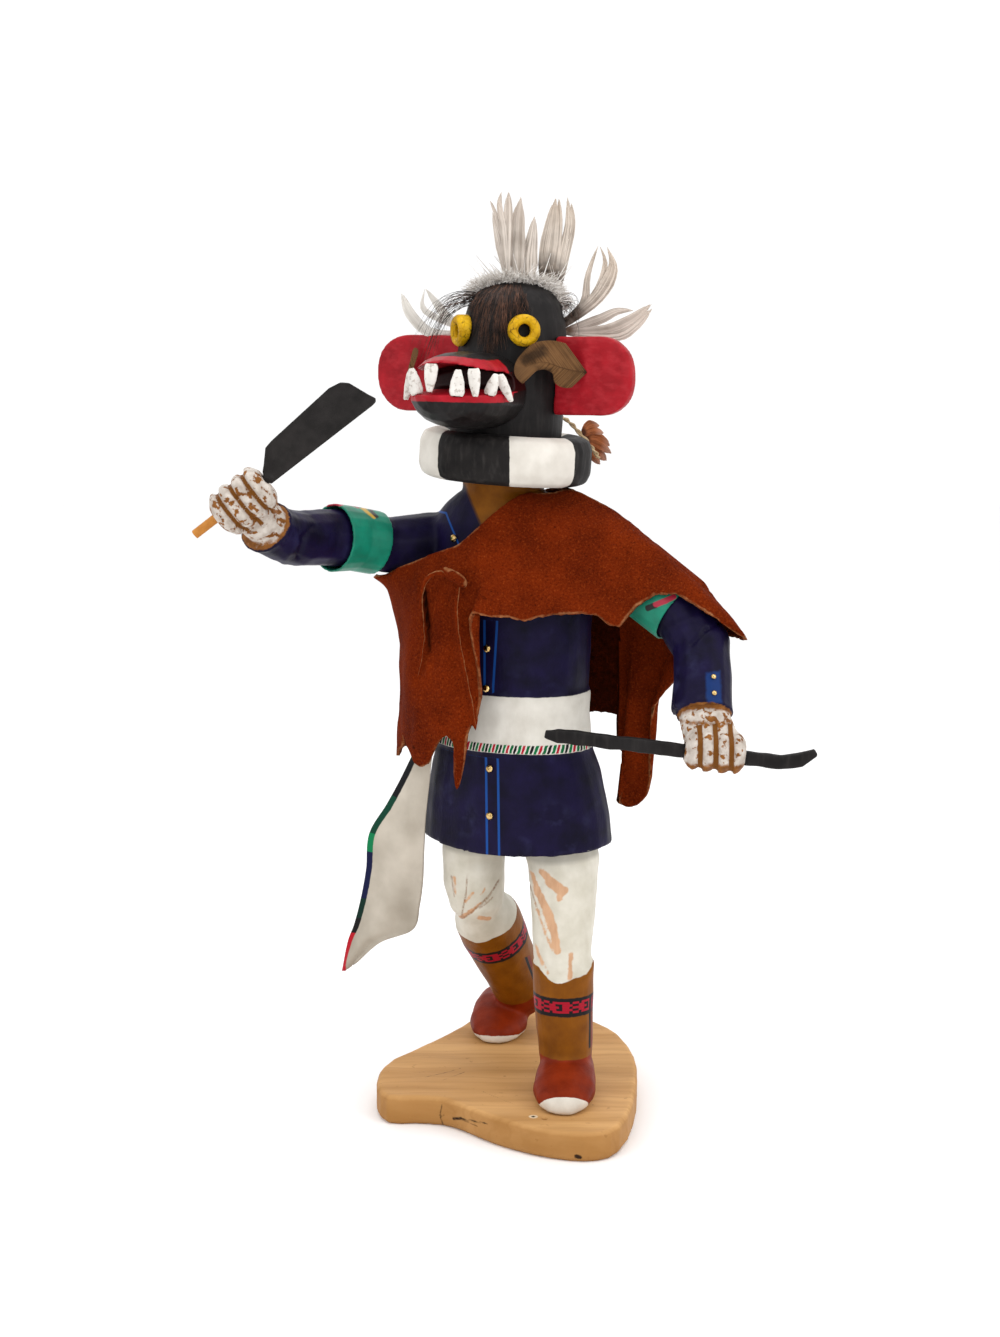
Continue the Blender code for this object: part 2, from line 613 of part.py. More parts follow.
def build_ruff(paint):
    inner = HEAD_RADIUS + RUFF_LOOSENESS
    outer = inner + RUFF_WALL
    half, corner = RUFF_HEIGHT / 2, min(RUFF_EDGE_ROUND, RUFF_WALL / 2)
    profile = []
    for radius, level, start in ((outer - corner, half - corner, 90), (outer - corner, corner - half, 0),
                                 (inner + corner, corner - half, -90), (inner + corner, half - corner, 180)):
        for k in range(3):
            angle = math.radians(start - 45 * k)
            profile.append((radius + corner * math.cos(angle), level + corner * math.sin(angle)))
    turn = Matrix.Rotation(RUFF_TILT, 3, "Y")
    centre = place(*RUFF_CENTRE)
    rings = []
    for i in range(RUFF_SIDES):
        angle = 2 * math.pi * i / RUFF_SIDES
        out = Vector((math.cos(angle), math.sin(angle), 0))
        rings.append([centre + turn @ (out * r + UP * z) for r, z in profile])
    return loft("ruff", rings, paint, loop=True)


def build_patch(name, first, last, outline, gap, thick, locks, material):
    # Hair or fur lying on the mask between two turns. The outline gives, for even steps of turn,
    # the top and bottom levels and a share of the thickness; the outside is parted into locks.
    columns, rows = 2 * (len(outline) - 1), 4
    shape = smooth_rows(outline, 2)
    inside, outside = [], []
    for i, (high, low, swell) in enumerate(shape):
        turn = first + (last - first) * i / columns
        out = Vector((math.sin(turn), -math.cos(turn), 0))
        lock = 0.62 + 0.38 * math.cos(locks * 2 * math.pi * i / columns)
        line_in, line_out = [], []
        for j in range(rows + 1):
            share = j / rows
            level = high + (low - high) * share ** 1.5
            x, y, radius = head_at(level)
            depth = thick * U * (0.4 + 0.6 * swell * lock * math.sin(math.pi * (0.1 + 0.8 * share)))
            axis = place(x, y, level)
            line_in.append(axis + out * (radius - thick * U))
            line_out.append(axis + out * (radius + gap + depth))
        inside.append(line_in)
        outside.append(line_out)
    return boolean(shell(name, inside, outside, material), head_form("head_cut", gap, material), "DIFFERENCE")


def shell(name, inside, outside, material):
    # A closed sheet between two grids of points
    bm = bmesh.new()
    grids = [[[bm.verts.new(p) for p in line] for line in grid] for grid in (inside, outside)]
    columns, rows = len(inside) - 1, len(inside[0]) - 1
    for grid in grids:
        for i in range(columns):
            for j in range(rows):
                bm.faces.new((grid[i][j], grid[i + 1][j], grid[i + 1][j + 1], grid[i][j + 1]))
    low, high = grids
    for i in range(columns):
        for j in (0, rows):
            bm.faces.new((low[i][j], low[i + 1][j], high[i + 1][j], high[i][j]))
    for j in range(rows):
        for i in (0, columns):
            bm.faces.new((low[i][j], low[i][j + 1], high[i][j + 1], high[i][j]))
    return solid(name, bm, material)


def level_at(reach):
    # The level at which the mask is `reach` from its axis, near the crown
    for low, high in zip(HEAD_ROWS, HEAD_ROWS[1:]):
        wide, narrow = HEAD_RADIUS * low[3], HEAD_RADIUS * high[3]
        if low[2] > 330 and wide >= reach >= narrow:
            return low[2] + (high[2] - low[2]) * (wide - reach) / (wide - narrow)
    return HEAD_ROWS[-1][2]


def head_at(z):
    for low, high in zip(HEAD_ROWS, HEAD_ROWS[1:]):
        if z <= high[2]:
            t = max(0.0, (z - low[2]) / (high[2] - low[2]))
            x, y, _z, share = (a + (b - a) * t for a, b in zip(low, high))
            return [x, y, HEAD_RADIUS * share]
    return [*HEAD_ROWS[-1][:2], HEAD_RADIUS * HEAD_ROWS[-1][3]]


def feather_form(name, base, tip, across, widths, bend, grow, material):
    # A flat vane on a quill: widths are half widths at even steps from base to tip
    face = across.cross(tip - base).normalized()
    rings = []
    for i, wide in enumerate(widths):
        t = i / (len(widths) - 1)
        centre = base + (tip - base) * t + face * bend * U * math.sin(math.pi * t)
        half = wide * U + grow
        thick = FEATHER_THICKNESS / 2 + grow
        spine = max(thick, (QUILL_DIAMETER / 2) * (1 - t) + grow)
        edge = thick * 0.45
        left, right = centre - across * half, centre + across * half
        rings.append([left - face * edge, centre - face * spine, right - face * edge,
                      right + face * edge, centre + face * spine, left + face * edge])
    return loft(name, rings, material)


# Feathers: name, base, tip, the way across the vane, half widths from base to tip, bend.
# The lower ones are tied over the ears: their levels count from the ears' upper edge.
FEATHERS = (
    ("feather_crown_left", (-0.6, -6, 369.5), (-2.0, -2, 406.5), (1, 0.15, 0),
     (0.8, 2.6, 4.6, 6.4, 5.6, 2.2), 2),
    ("feather_crown_middle", (7.0, -3, 369.2), (9.6, 2, 398.5), (1, -0.2, 0),
     (0.8, 3.4, 4.6, 4.2, 2.8, 0.9), -2),
    ("feather_crown_right", (14.8, -2, 366.4), (22.6, 6, 404.2), (1, 0.2, 0),
     (0.9, 4.4, 5.8, 6.4, 5.6, 2.2), 2),
    ("feather_side_upper", (25.6, 1, 351.0), (42.2, -6, 383.4), (1, -0.3, 0),
     (0.8, 2.8, 5.0, 5.8, 5.4, 2.4), 2),
    ("feather_side_lower", (27.6, 6, 1.6), (62.2, -3, 11.0), (0, -0.2, 1),
     (0.9, 3.2, 5.2, 6.2, 5.4, 1.6), 2),
    ("feather_far_upper", (-18.6, 7, 351.6), (-36.0, 9, 365.2), (0.6, -0.3, 1),
     (0.7, 2.0, 3.6, 4.4, 3.4, 1.2), 1),
    ("feather_far_lower", (-22.0, 6, 0.8), (-47.6, 8, 18.2), (0.7, -0.2, 1),
     (0.7, 2.0, 3.2, 3.6, 3.0, 1.2), 1),
)


# Forelock: top and bottom levels and share of the thickness, from the far side to the near side
HAIR_OUTLINE = (
    (361, 356.6, 0.2), (363.2, 356.2, 0.6), (364.4, 354.8, 1.0), (365.2, 342, 1.0), (365.4, 341.5, 1.0),
    (365, 343, 1.0), (364.4, 355.4, 0.9), (362.8, 356.2, 0.5), (361, 356.6, 0.2),
)


def build_feathers(head, vane):
    # Each quill starts just off the mask
    skin = surface_of([head])
    for name, base, tip, across, widths, bend in FEATHERS:
        level = EAR_LEVEL + EAR_HEIGHT / U if name.endswith("_lower") else 0
        lift = Vector((0, 0, level * U))
        near, normal, _index, _distance = skin.find_nearest(place(*base) + lift)
        start = near + normal * (FIT_GAP + QUILL_DIAMETER)
        feather_form(name, start, place(*tip) + lift, Vector(across).normalized(), widths, bend, 0, vane)


def build_fur(fur):
    # A ring of fur round the quills on the crown
    rings = []
    for i in range(FUR_TUFTS):
        turn = 2 * math.pi * i / FUR_TUFTS
        out = Vector((math.cos(turn), math.sin(turn), 0))
        centre = place(3.8 + 17.2 * out.x, -5.5 + 10 * out.y, 0)
        reach = (Vector((centre.x, centre.y, 0)) - place(2.4, -8, 0) * Vector((1, 1, 0))).length
        centre.z = place(0, 0, level_at(reach)).z
        swell = 1.0 + 0.16 * (-1) ** i
        rings.append(oval(centre, out, UP, 3.9 * U, 4.2 * U * swell, 6))
    made = loft("fur", rings, fur, loop=True)
    return boolean(made, head_form("head_cut", FIT_GAP, fur), "DIFFERENCE")


def build_ear_feathers(vane):
    # One brown feather lies on the front of each ear
    feather_form("feather_ear_near", face_point(7.5, 38.0, 330.0), face_point(27, 23.2, 334.2), UP,
                 (0.9, 4.8, 8.4, 9.2, 8.2, 4.4), -1.5, 0, vane)
    feather_form("feather_ear_far", face_point(6.5, -47.5, 331), face_point(9, -38.5, 333), UP,
                 (1.6, 4.6, 5.8, 6.0, 5.0, 2.2), 0.5, 0, vane)


def build_back_feathers(vane):
    # Three short brown feathers tied behind the ear on the thong
    tips = (((41.5, 16.5, 304), 4.0), ((46.5, 19.5, 296.5), 4.4), ((42.5, 22.5, 287.5), 3.6))
    for i, (tip, wide) in enumerate(tips):
        base = place(33.4, 17.5 + i * 3.2, 300.6 - i * 2.2)
        widths = (0.8, wide * 0.8, wide, wide * 0.9, 1.2)
        across = Vector((0.35, 0, 1)).normalized()
        feather_form(f"feather_back_{i + 1}", base, place(*tip), across, widths, 0.4, 0, vane)


# Thong: turn from the x axis, reach past the ruff's outside, and level over the ruff's top
THONG_PATH = ((32.7, -9.0, 5.9), (32.2, -3.9, 2.9), (29.5, 1.0, -2.6), (25.6, 5.2, -8.6), (23.0, 7.2, -12.6))


def build_thong(hide):
    centre = place(*RUFF_CENTRE) / U
    outside, top = (HEAD_RADIUS + RUFF_LOOSENESS + RUFF_WALL) / U, RUFF_HEIGHT / 2 / U
    level = RUFF_CENTRE[2] + top
    path = []
    for turn, reach, lift in THONG_PATH:
        angle = math.radians(turn)
        radius = outside + reach
        path.append((centre.x + radius * math.cos(angle), centre.y + radius * math.sin(angle), level + lift,
                     THONG_DIAMETER / 2 / U))
    return loft("back_thong", limb_rings(path, 8, 2), hide)


# Cape: columns that go round the figure from under the right arm, over the chest, out along the
# left arm to the corner, and back across the shoulders. Each has its top, two between and its hem.
CAPE = (
    ((-59, -4, 240), (-52, -4, 231), (-47, -5, 202), (-47.5, -8, 163)),
    ((-38.5, -20, 249), (-42, -25, 232), (-43, -30, 200), (-38, -33, 159)),
    ((-30, -26, 253), (-31, -32, 235), (-31, -38, 202), (-28, -39, 170)),
    ((-23, -30, 256), (-22.5, -36, 238), (-22, -41, 202), (-21.5, -41, 152)),
    ((-18, -32, 259.5), (-17.5, -38, 240), (-15, -41, 205), (-15, -42, 178)),
    ((-13.5, -33, 264), (-12.5, -38, 250), (-12, -41, 239), (-13, -43, 228)),
    ((-4, -29, 272), (-3, -36, 255), (-1, -42, 240), (0, -46, 225)),
    ((5, -24, 276.5), (8, -34, 258), (11, -41, 240), (13, -47, 224)),
    ((18, -20, 276), (25, -34, 260), (30, -43, 241), (33, -49, 225)),
    ((28, -14, 275.5), (38, -33, 262), (45, -45, 243), (48, -50, 228)),
    ((46, -22, 268.8), (54, -38, 259), (60, -49, 246), (61, -54, 238)),
    ((64, -34, 254.8), (69, -44, 250.5), (72, -52, 245), (70, -58, 239)),
    ((81, -45, 240), (84, -52, 237), (86, -59, 233), (83, -61, 231)),
    ((93, -54, 227.5), (96, -56, 224), (98, -57, 221.5), (99.5, -58, 219.4)),
    ((81, -45, 240), (88, -39, 232), (92, -35, 225), (92, -33, 218)),
    ((64, -34, 256), (75, -21, 242), (83, -9, 220), (76, 8, 192)),
    ((50, -24, 267.6), (64, -8, 250), (75, 8, 219), (64.6, 16, 168)),
    ((42, -19, 271), (56, -3, 254), (67, 14, 219), (62, 18, 134)),
    ((28, -14, 275.5), (44, 4, 259), (57, 19, 220), (52, 20, 133)),
    ((24, -4, 276), (36, 10, 262), (48, 24, 224), (50, 25, 168)),
    ((20, 3, 276.4), (31, 14, 263), (42, 26, 225), (42, 28, 171)),
    ((14, 9, 276.3), (23, 18, 263), (31, 28, 225), (30, 30, 169)),
    ((4, 12, 275), (10, 21, 261), (16, 30, 225), (16, 32, 166)),
    ((-12, 18, 267), (-10, 24, 254), (-6, 31, 222), (-6, 33, 163)),
    ((-28, 22, 255), (-27, 26, 243), (-26, 29, 215), (-27, 31, 160)),
    ((-42, 17, 244), (-42, 19, 234), (-42, 20, 210), (-43, 21, 157)),
    ((-54, 5, 240), (-50, 6, 231), (-48, 7, 208), (-50, 8, 155)),
)
CAPE_FOLD_START, CAPE_FOLD_END = 9, 13


def push_out(grid, tree, clear):
    # Moves a closed ring of columns off the surface: its points, edges and faces stay clear of it
    total, rows = len(grid), len(grid[0])
    for _ in range(6):
        for i in range(total):
            after = grid[(i + 1) % total]
            for j in range(rows):
                here = grid[i]
                groups = [(here[j],), (here[j], after[j])]
                if j + 1 < rows:
                    groups += [(here[j], here[j + 1]), (here[j], after[j], after[j + 1], here[j + 1])]
                for group in groups:
                    point = sum(group, Vector()) / len(group)
                    near, normal, _index, _distance = tree.find_nearest(point)
                    short = clear - (point - near).dot(normal)
                    if short > 0:
                        for corner in group:
                            corner += normal * short


def build_cape(suede, obstacles):
    steps_round, steps_down = 2, 2
    count = len(CAPE)
    closed = [[n for point in CAPE[(i - 1) % count] for n in point] for i in range(count + 3)]
    columns = smooth_rows(closed, steps_round)[steps_round:-steps_round - 1]
    grid = [smooth_rows([row[k:k + 3] for k in (0, 3, 6, 9)], steps_down) for row in columns]
    grid = [[place(*p) for p in line] for line in grid]
    first, middle = CAPE_FOLD_START * steps_round, CAPE_FOLD_END * steps_round
    for k in range(middle - first + 1):
        grid[middle + k][0] = grid[middle - k][0].copy()
    push_out(grid, surface_of(obstacles), CAPE_CLEARANCE + CAPE_THICKNESS / 2)
    bm = bmesh.new()
    verts = [[bm.verts.new(p) for p in line] for line in grid]
    total = len(verts)
    for i in range(total):
        for a, b, c, d in zip(verts[i], verts[(i + 1) % total], verts[(i + 1) % total][1:], verts[i][1:]):
            bm.faces.new((a, b, c, d))
    cape = solid("cape", bm, suede)
    thick = cape.modifiers.new("thickness", "SOLIDIFY")
    thick.thickness = CAPE_THICKNESS
    thick.offset = 0
    mesh = evaluated_mesh(cape)
    cape.modifiers.clear()
    cape.data = mesh
    return cape


def build_sash_end(cloth):
    # The sash's painted end hangs from the right hip: left edge and right edge, top to bottom
    edges = (
        ((-38, -7, 174), (-32, -15, 175)), ((-41, -7, 163), (-34, -15, 161)),
        ((-46.5, -6, 151), (-35.6, -14, 147)), ((-54, -4, 137), (-37.4, -13, 131)),
        ((-62.4, -2, 123), (-38.2, -12, 119)), ((-64.4, 0, 106), (-39.0, -10, 104)),
        ((-67.2, 2, 91), (-40.4, -8, 91)), ((-70.6, 4, 79), (-43.4, -6, 79)),
        ((-73.6, 5, 70), (-57.5, -1, 72)), ((-76.2, 5, 56), (-70.0, 4, 61)),
    )
    rows = smooth_rows([[*a, *b] for a, b in edges], 2)
    half = SASH_END_THICKNESS / 2
    near, far = [], []
    for row in rows:
        left, right = place(*row[:3]), place(*row[3:])
        middle = (left + right) / 2 + Vector((-0.5, -1, 0)).normalized() * 1.2 * U
        face = (right - left).cross(UP).normalized()
        near.append([p + face * half for p in (left, middle, right)])
        far.append([p - face * half for p in (left, middle, right)])
    return shell("sash_end", near, far, cloth)


def build_stud(name, tree, start, diameter, height, brass, way=Vector((0, 1, 0))):
    # A domed pin head that sits just off the surface met along `way`
    hit, normal, _index, _distance = tree.ray_cast(start, way)
    side = normal.cross(UP).normalized()
    other = normal.cross(side).normalized()
    rings = []
    for share, size in ((0, 1.0), (0.55, 0.86), (1.0, 0.4)):
        radius = diameter / 2 * size
        rings.append(oval(hit + normal * (FIT_GAP + height * share), side, other, radius, radius, 8))
    return loft(name, rings, brass)


def main():
    clear_scene()
    base_wood = finish("cottonwood", (0.55, 0.36, 0.17), 0.6)
    paint = finish("carved_paint", (0.02, 0.02, 0.07), 0.5)
    black = finish("black_paint", (0.012, 0.012, 0.014), 0.45)
    red = finish("red_paint", (0.5, 0.01, 0.02), 0.5)
    yellow = finish("yellow_paint", (0.75, 0.42, 0.01), 0.5)
    white = finish("white_paint", (0.7, 0.68, 0.62), 0.6)
    turquoise = finish("turquoise_paint", (0.0, 0.26, 0.2), 0.5)
    suede = finish("rust_suede", (0.22, 0.05, 0.012), 0.95)
    vane = finish("feather", (0.6, 0.54, 0.46), 0.8)
    brown_vane = finish("brown_feather", (0.13, 0.08, 0.04), 0.8)
    hair = finish("horsehair", (0.03, 0.02, 0.015), 0.6)
    fur = finish("rabbit_fur", (0.5, 0.45, 0.37), 0.9)
    hide = finish("pale_hide", (0.5, 0.42, 0.3), 0.8)
    brass = finish("brass", (0.7, 0.42, 0.14), 0.25, 1.0)

    build_base(base_wood)
    body = build_body(paint)
    arm_right = build_arm_right(paint)
    arm_left = build_arm_left(paint)
    band_right = build_armband("armband_right", ARM_RIGHT, 3, ARMBAND_FLARE, turquoise)
    band_left = build_armband("armband_left", ARM_LEFT, 3, 0, turquoise)
    build_knife(black)
    loft("bow_stick", stick_rings(0), black)
    head = head_form("head", 0, black)
    snout = build_snout(black)
    build_teeth(snout, white)
    for name, turn, level in EYES:
        build_eye(name, turn, level, yellow)
    build_ear("ear_near", 1, EAR_LENGTH_NEAR, red)
    build_ear("ear_far", -1, EAR_LENGTH_FAR, red)
    build_ruff(white)
    lock = build_patch("hair", math.radians(-78), math.radians(22), HAIR_OUTLINE, FIT_GAP, 1.4, 9, hair)
    for name, turn, level in EYES:
        boolean(lock, eye_cut(turn, level, hair), "DIFFERENCE")
    build_fur(fur)
    build_feathers(head, vane)
    build_ear_feathers(brown_vane)
    build_back_feathers(brown_vane)
    build_thong(hide)
    build_cape(suede, [body, arm_right, arm_left, band_right, band_left])
    build_sash_end(white)
    front = surface_of([body])
    for i, (x, z) in enumerate(((-9.4, 211.2), (-9.8, 193.6), (-8.4, 158.3), (-8.4, 137.3))):
        build_stud(f"button_{i + 2}", front, place(x, -80, z), BUTTON_DIAMETER, BUTTON_HEIGHT, brass)
    build_stud("button_1", front, place(-23.9, -80, 257.8), BUTTON_DIAMETER, BUTTON_HEIGHT, brass)
    sleeve = surface_of([arm_left])
    for i, z in enumerate((206.1, 199.9)):
        build_stud(f"cuff_pin_{i + 1}", sleeve, place(84.1, -120, z), CUFF_PIN_DIAMETER, BUTTON_HEIGHT, brass)


main()
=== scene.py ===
# Kachina doll: carved and painted cottonwood with a suede cape, feathers and a plank base
import math
import random
import bpy
import bmesh
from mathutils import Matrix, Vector, noise
from mathutils.bvhtree import BVHTree
from mathutils.kdtree import KDTree


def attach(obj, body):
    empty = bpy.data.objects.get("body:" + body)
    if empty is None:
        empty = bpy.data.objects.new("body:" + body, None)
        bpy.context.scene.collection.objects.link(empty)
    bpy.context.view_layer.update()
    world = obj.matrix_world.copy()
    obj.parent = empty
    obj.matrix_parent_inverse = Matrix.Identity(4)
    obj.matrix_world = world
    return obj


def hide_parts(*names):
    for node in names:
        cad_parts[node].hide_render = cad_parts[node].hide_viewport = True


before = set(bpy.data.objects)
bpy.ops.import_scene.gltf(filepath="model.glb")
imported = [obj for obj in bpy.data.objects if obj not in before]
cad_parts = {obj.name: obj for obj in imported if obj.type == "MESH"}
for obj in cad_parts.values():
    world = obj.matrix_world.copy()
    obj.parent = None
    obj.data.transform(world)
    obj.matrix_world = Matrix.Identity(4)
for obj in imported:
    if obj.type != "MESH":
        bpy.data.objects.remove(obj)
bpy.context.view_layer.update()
mm = 0.001
print("frame loaded")

# Camera at the photograph's angle
camera = {"at": (-0.004, -0.980, 0.360), "lookAt": (-0.004, -0.030, 0.203), "lens": 59.9}
lens = bpy.data.cameras.new("camera")
lens.sensor_width = 36
lens.lens = camera["lens"]
viewer = bpy.data.objects.new("camera", lens)
bpy.context.scene.collection.objects.link(viewer)
viewer.location = camera["at"]
viewer.rotation_euler = (Vector(camera["lookAt"]) - viewer.location).to_track_quat("-Z", "Y").to_euler()
bpy.context.scene.camera = viewer
bpy.context.scene.view_settings.view_transform = "Standard"
print("camera placed")


def tint(code):  # sRGB hex to linear
    made = []
    for i in (1, 3, 5):
        c = int(code[i:i + 2], 16) / 255
        made.append(c / 12.92 if c <= 0.04045 else ((c + 0.055) / 1.055) ** 2.4)
    return (*made, 1.0)


def addNode(tree, kind, inputs, **settings):  # a node with its settings, values and links
    made = tree.nodes.new("ShaderNode" + kind)
    for name, value in settings.items():
        setattr(made, name, value)
    for socket, value in inputs.items():
        if isinstance(value, bpy.types.NodeSocket):
            tree.links.new(value, made.inputs[socket])
        else:
            made.inputs[socket].default_value = value
    return made


def newMaterial(name, roughness, **more):  # material, its tree, its shader and the object coordinates
    material = bpy.data.materials.new(name)
    material.use_nodes = True
    tree = material.node_tree
    shader = tree.nodes["Principled BSDF"]
    shader.inputs["Roughness"].default_value = roughness
    shader.inputs["Specular IOR Level"].default_value = 0.14  # dry, matt surfaces
    for socket, value in more.items():
        shader.inputs[socket].default_value = value
    return material, tree, shader, addNode(tree, "TexCoord", {}).outputs["Object"]


def grainOf(tree, where, scale, detail):  # plain noise
    return addNode(tree, "TexNoise", {"Vector": where, "Scale": scale, "Detail": detail}).outputs[0]


def ranged(tree, value, low, high, start=0.0, end=1.0):  # a value spread from low and high to start and end
    return addNode(tree, "MapRange", {"Value": value, 1: low, 2: high, 3: start, 4: end}).outputs[0]


def over(tree, mask, under, colour):  # lays one colour over another through a mask
    return addNode(tree, "Mix", {0: mask, 6: under, 7: colour}, data_type="RGBA").outputs[2]


def patches(tree, where, scale, low, high, detail=6.0):  # noise cut to separate patches
    return ranged(tree, grainOf(tree, where, scale, detail), low, high)


def mottle(tree, where, dark, light, scale, detail=4.0):  # two tones of one colour, blotched
    return over(tree, patches(tree, where, scale, 0.3, 0.7, detail), tint(dark), tint(light))


def times(tree, a, b, kind="MULTIPLY"):
    return addNode(tree, "Math", {0: a, 1: b}, operation=kind).outputs[0]


def named(tree, attribute):
    return addNode(tree, "Attribute", {}, attribute_name=attribute).outputs["Fac"]


def around(tree, value, middle, half, soft=0.12):  # 1 where a value lies within half of the middle
    size = addNode(tree, "Math", {0: times(tree, value, middle, "SUBTRACT")}, operation="ABSOLUTE").outputs[0]
    return ranged(tree, size, half + soft, half - soft)


def stepped(tree, value, stops):  # flat bands of colour along a value from 0 to 1
    made = addNode(tree, "ValToRGB", {0: value})
    ramp = made.color_ramp
    ramp.interpolation = "CONSTANT"
    ramp.elements[0].position, ramp.elements[0].color = stops[0][0], tint(stops[0][1])
    ramp.elements[1].position, ramp.elements[1].color = stops[1][0], tint(stops[1][1])
    for at, code in stops[2:]:
        ramp.elements.new(at).color = tint(code)
    return made.outputs[0]


def edgeOf(tree, where, attribute, wobble=0.5, soft=0.14):  # hand-painted edge along an attribute in mm
    shift = ranged(tree, grainOf(tree, where, 420, 3), 0.0, 1.0, -wobble, wobble)
    return ranged(tree, times(tree, named(tree, attribute), shift, "ADD"), -soft, soft)


def stretched(tree, where, scale):  # coordinates drawn out along one direction
    return addNode(tree, "Mapping", {"Vector": where, "Scale": scale}).outputs[0]


def bumpFrom(tree, shader, height, depth, strength):  # relief of a pattern, depth in metres
    bump = addNode(tree, "Bump", {"Height": height, "Distance": depth, "Strength": strength})
    tree.links.new(bump.outputs[0], shader.inputs["Normal"])


def setColour(tree, shader, colour):
    tree.links.new(colour, shader.inputs["Base Color"])


def newPiece(name, mesh, materials, slot, *nodes):  # links, dresses, rides and replaces
    piece = bpy.data.objects.new(name, mesh)
    bpy.context.scene.collection.objects.link(piece)
    mesh.materials.clear()
    for material in materials:
        mesh.materials.append(material)
    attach(piece, "root")
    if nodes:
        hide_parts(*nodes)
    return piece


def evaluated(piece):  # a mesh with the piece's modifiers applied
    bpy.context.view_layer.update()
    graph = bpy.context.evaluated_depsgraph_get()
    return bpy.data.meshes.new_from_object(piece.evaluated_get(graph))


def applyAll(piece):
    mesh = evaluated(piece)
    piece.modifiers.clear()
    old, piece.data = piece.data, mesh
    bpy.data.meshes.remove(old)
    return piece


def finishMesh(shape, name, smooth=True):
    mesh = bpy.data.meshes.new(name)
    shape.to_mesh(mesh)
    shape.free()
    if smooth:
        mesh.shade_smooth()
    return mesh


def evenCopy(name, node, voxel, rounds, materials, slot, shape=None, *more):
    # A closed, evenly meshed copy of a carved solid, softened as a knife and sandpaper leave it
    if not shape:
        shape = bmesh.new()
        shape.from_mesh(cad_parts[node].data)
    bmesh.ops.remove_doubles(shape, verts=shape.verts, dist=0.000001)
    piece = newPiece(name, finishMesh(shape, name), materials, slot, node, *more)
    even = piece.modifiers.new("even", "REMESH")
    even.mode = "VOXEL"
    even.voxel_size = voxel
    soften = piece.modifiers.new("soften", "SMOOTH")
    soften.iterations = rounds
    applyAll(piece)
    piece.data.shade_smooth()
    return piece


def carve(piece, move):  # moves each point along its normal by move(point, normal), in metres
    mesh = piece.data
    for vertex, normal in zip(mesh.vertices, [v.normal.copy() for v in mesh.vertices]):
        vertex.co += normal * move(vertex.co, normal)
    mesh.update()


def paintMap(piece, name, value):  # an attribute that a paint edge follows, in mm
    mesh = piece.data
    made = mesh.attributes.new(name, "FLOAT", "POINT")
    made.data.foreach_set("value", [value(v.co, v.normal) for v in mesh.vertices])


def strokeReach(x, z, strokes):  # how far inside the nearest stroke a point lies, in mm
    best = -20.0
    for x1, z1, x2, z2, wide in strokes:
        dx, dz = x2 - x1, z2 - z1
        share = max(0.0, min(1.0, ((x - x1) * dx + (z - z1) * dz) / (dx * dx + dz * dz + 1e-9)))
        best = max(best, wide - math.hypot(x - x1 - dx * share, z - z1 - dz * share))
    return best


def whittled(scale, depth, seed=0.0):  # shallow knife facets and hand wobble
    def move(point, normal):
        return depth * noise.noise(point * scale + Vector((seed, seed, seed)))
    return move


# Floor, lights and pale surroundings
studio = {
    "floor": "#fbfafa", "floorHalf": 3.0, "room": "#ffffff", "roomPower": 1.05, "aim": (0, -0.02, 0.22),
    "softboxes": (  # name, place, size in metres, power in watts
        ("softboxLeft", (-0.75, -0.75, 0.75), 0.5, 2.0), ("softboxRight", (0.85, -0.65, 0.7), 0.5, 2.9),
        ("softboxTop", (0.05, -0.1, 1.25), 0.8, 3.4), ("softboxBack", (0.1, 0.9, 0.7), 0.8, 1.0)),
}
shape = bmesh.new()
bmesh.ops.create_grid(shape, x_segments=1, y_segments=1, size=studio["floorHalf"])
floorPlane = bpy.data.objects.new("floor", finishMesh(shape, "floor", False))
bpy.context.scene.collection.objects.link(floorPlane)
matte, tree, shader, where = newMaterial("paintedFloor", 0.9)
shader.inputs["Base Color"].default_value = tint(studio["floor"])
floorPlane.data.materials.append(matte)
world = bpy.data.worlds.new("room")
bpy.context.scene.world = world
world.use_nodes = True
world.node_tree.nodes["Background"].inputs[0].default_value = tint(studio["room"])
world.node_tree.nodes["Background"].inputs[1].default_value = studio["roomPower"]
for name, at, size, power in studio["softboxes"]:
    lamp = bpy.data.lights.new(name, "AREA")
    lamp.size = size
    lamp.energy = power
    holder = bpy.data.objects.new(name, lamp)
    bpy.context.scene.collection.objects.link(holder)
    holder.location = at
    holder.rotation_euler = (Vector(studio["aim"]) - holder.location).to_track_quat("-Z", "Y").to_euler()
print("studio lit")

# Cottonwood plank: flat-sawn, sanded and left bare, so pale gold with faint long grain, darker round its edge
plank = {
    "dark": "#a87a45", "light": "#cfa068", "vein": "#8f6232", "side": "#8a5a22", "speck": "#6b4523",
    "rim": "#e2d3b8", "mark": "#2b190b", "grainWidth": 0.0024,
    "hole": (10.4, -65.6), "holeRim": 2.0, "holeReach": 1.0,  # in mm
}
boardMarks = (  # on the front edge: a crack, a split and a knot as x, z, x, z, half width
    (-29.6, 10, -30.6, 5, 0.2), (-30.6, 5, -29, 0.5, 0.3), (-30.6, 5, -28.6, 5.6, 0.2),
    (-24.4, 5.2, -21, 6.6, 0.6), (-21, 6.6, -16.5, 7.4, 0.3), (-16.5, 7.4, -9.4, 8.8, 0.25),
    (-21, 6.2, -14, 6.0, 0.25), (28.2, 2.8, 30, 2.4, 0.8),
)
boardScratches = (  # on the top: x, y, x, y, half width
    (-38, -16, -22, -4, 0.16), (-30, -20, -20, -9, 0.13), (-12, -34, 2, -50, 0.15), (24, 6, 36, -12, 0.16),
)
cottonwood, tree, shader, where = newMaterial("sandedCottonwood", 0.62)
longWays = stretched(tree, where, (0.12, 1, 1))
body = mottle(tree, longWays, plank["dark"], plank["light"], 1 / 0.016, 5)
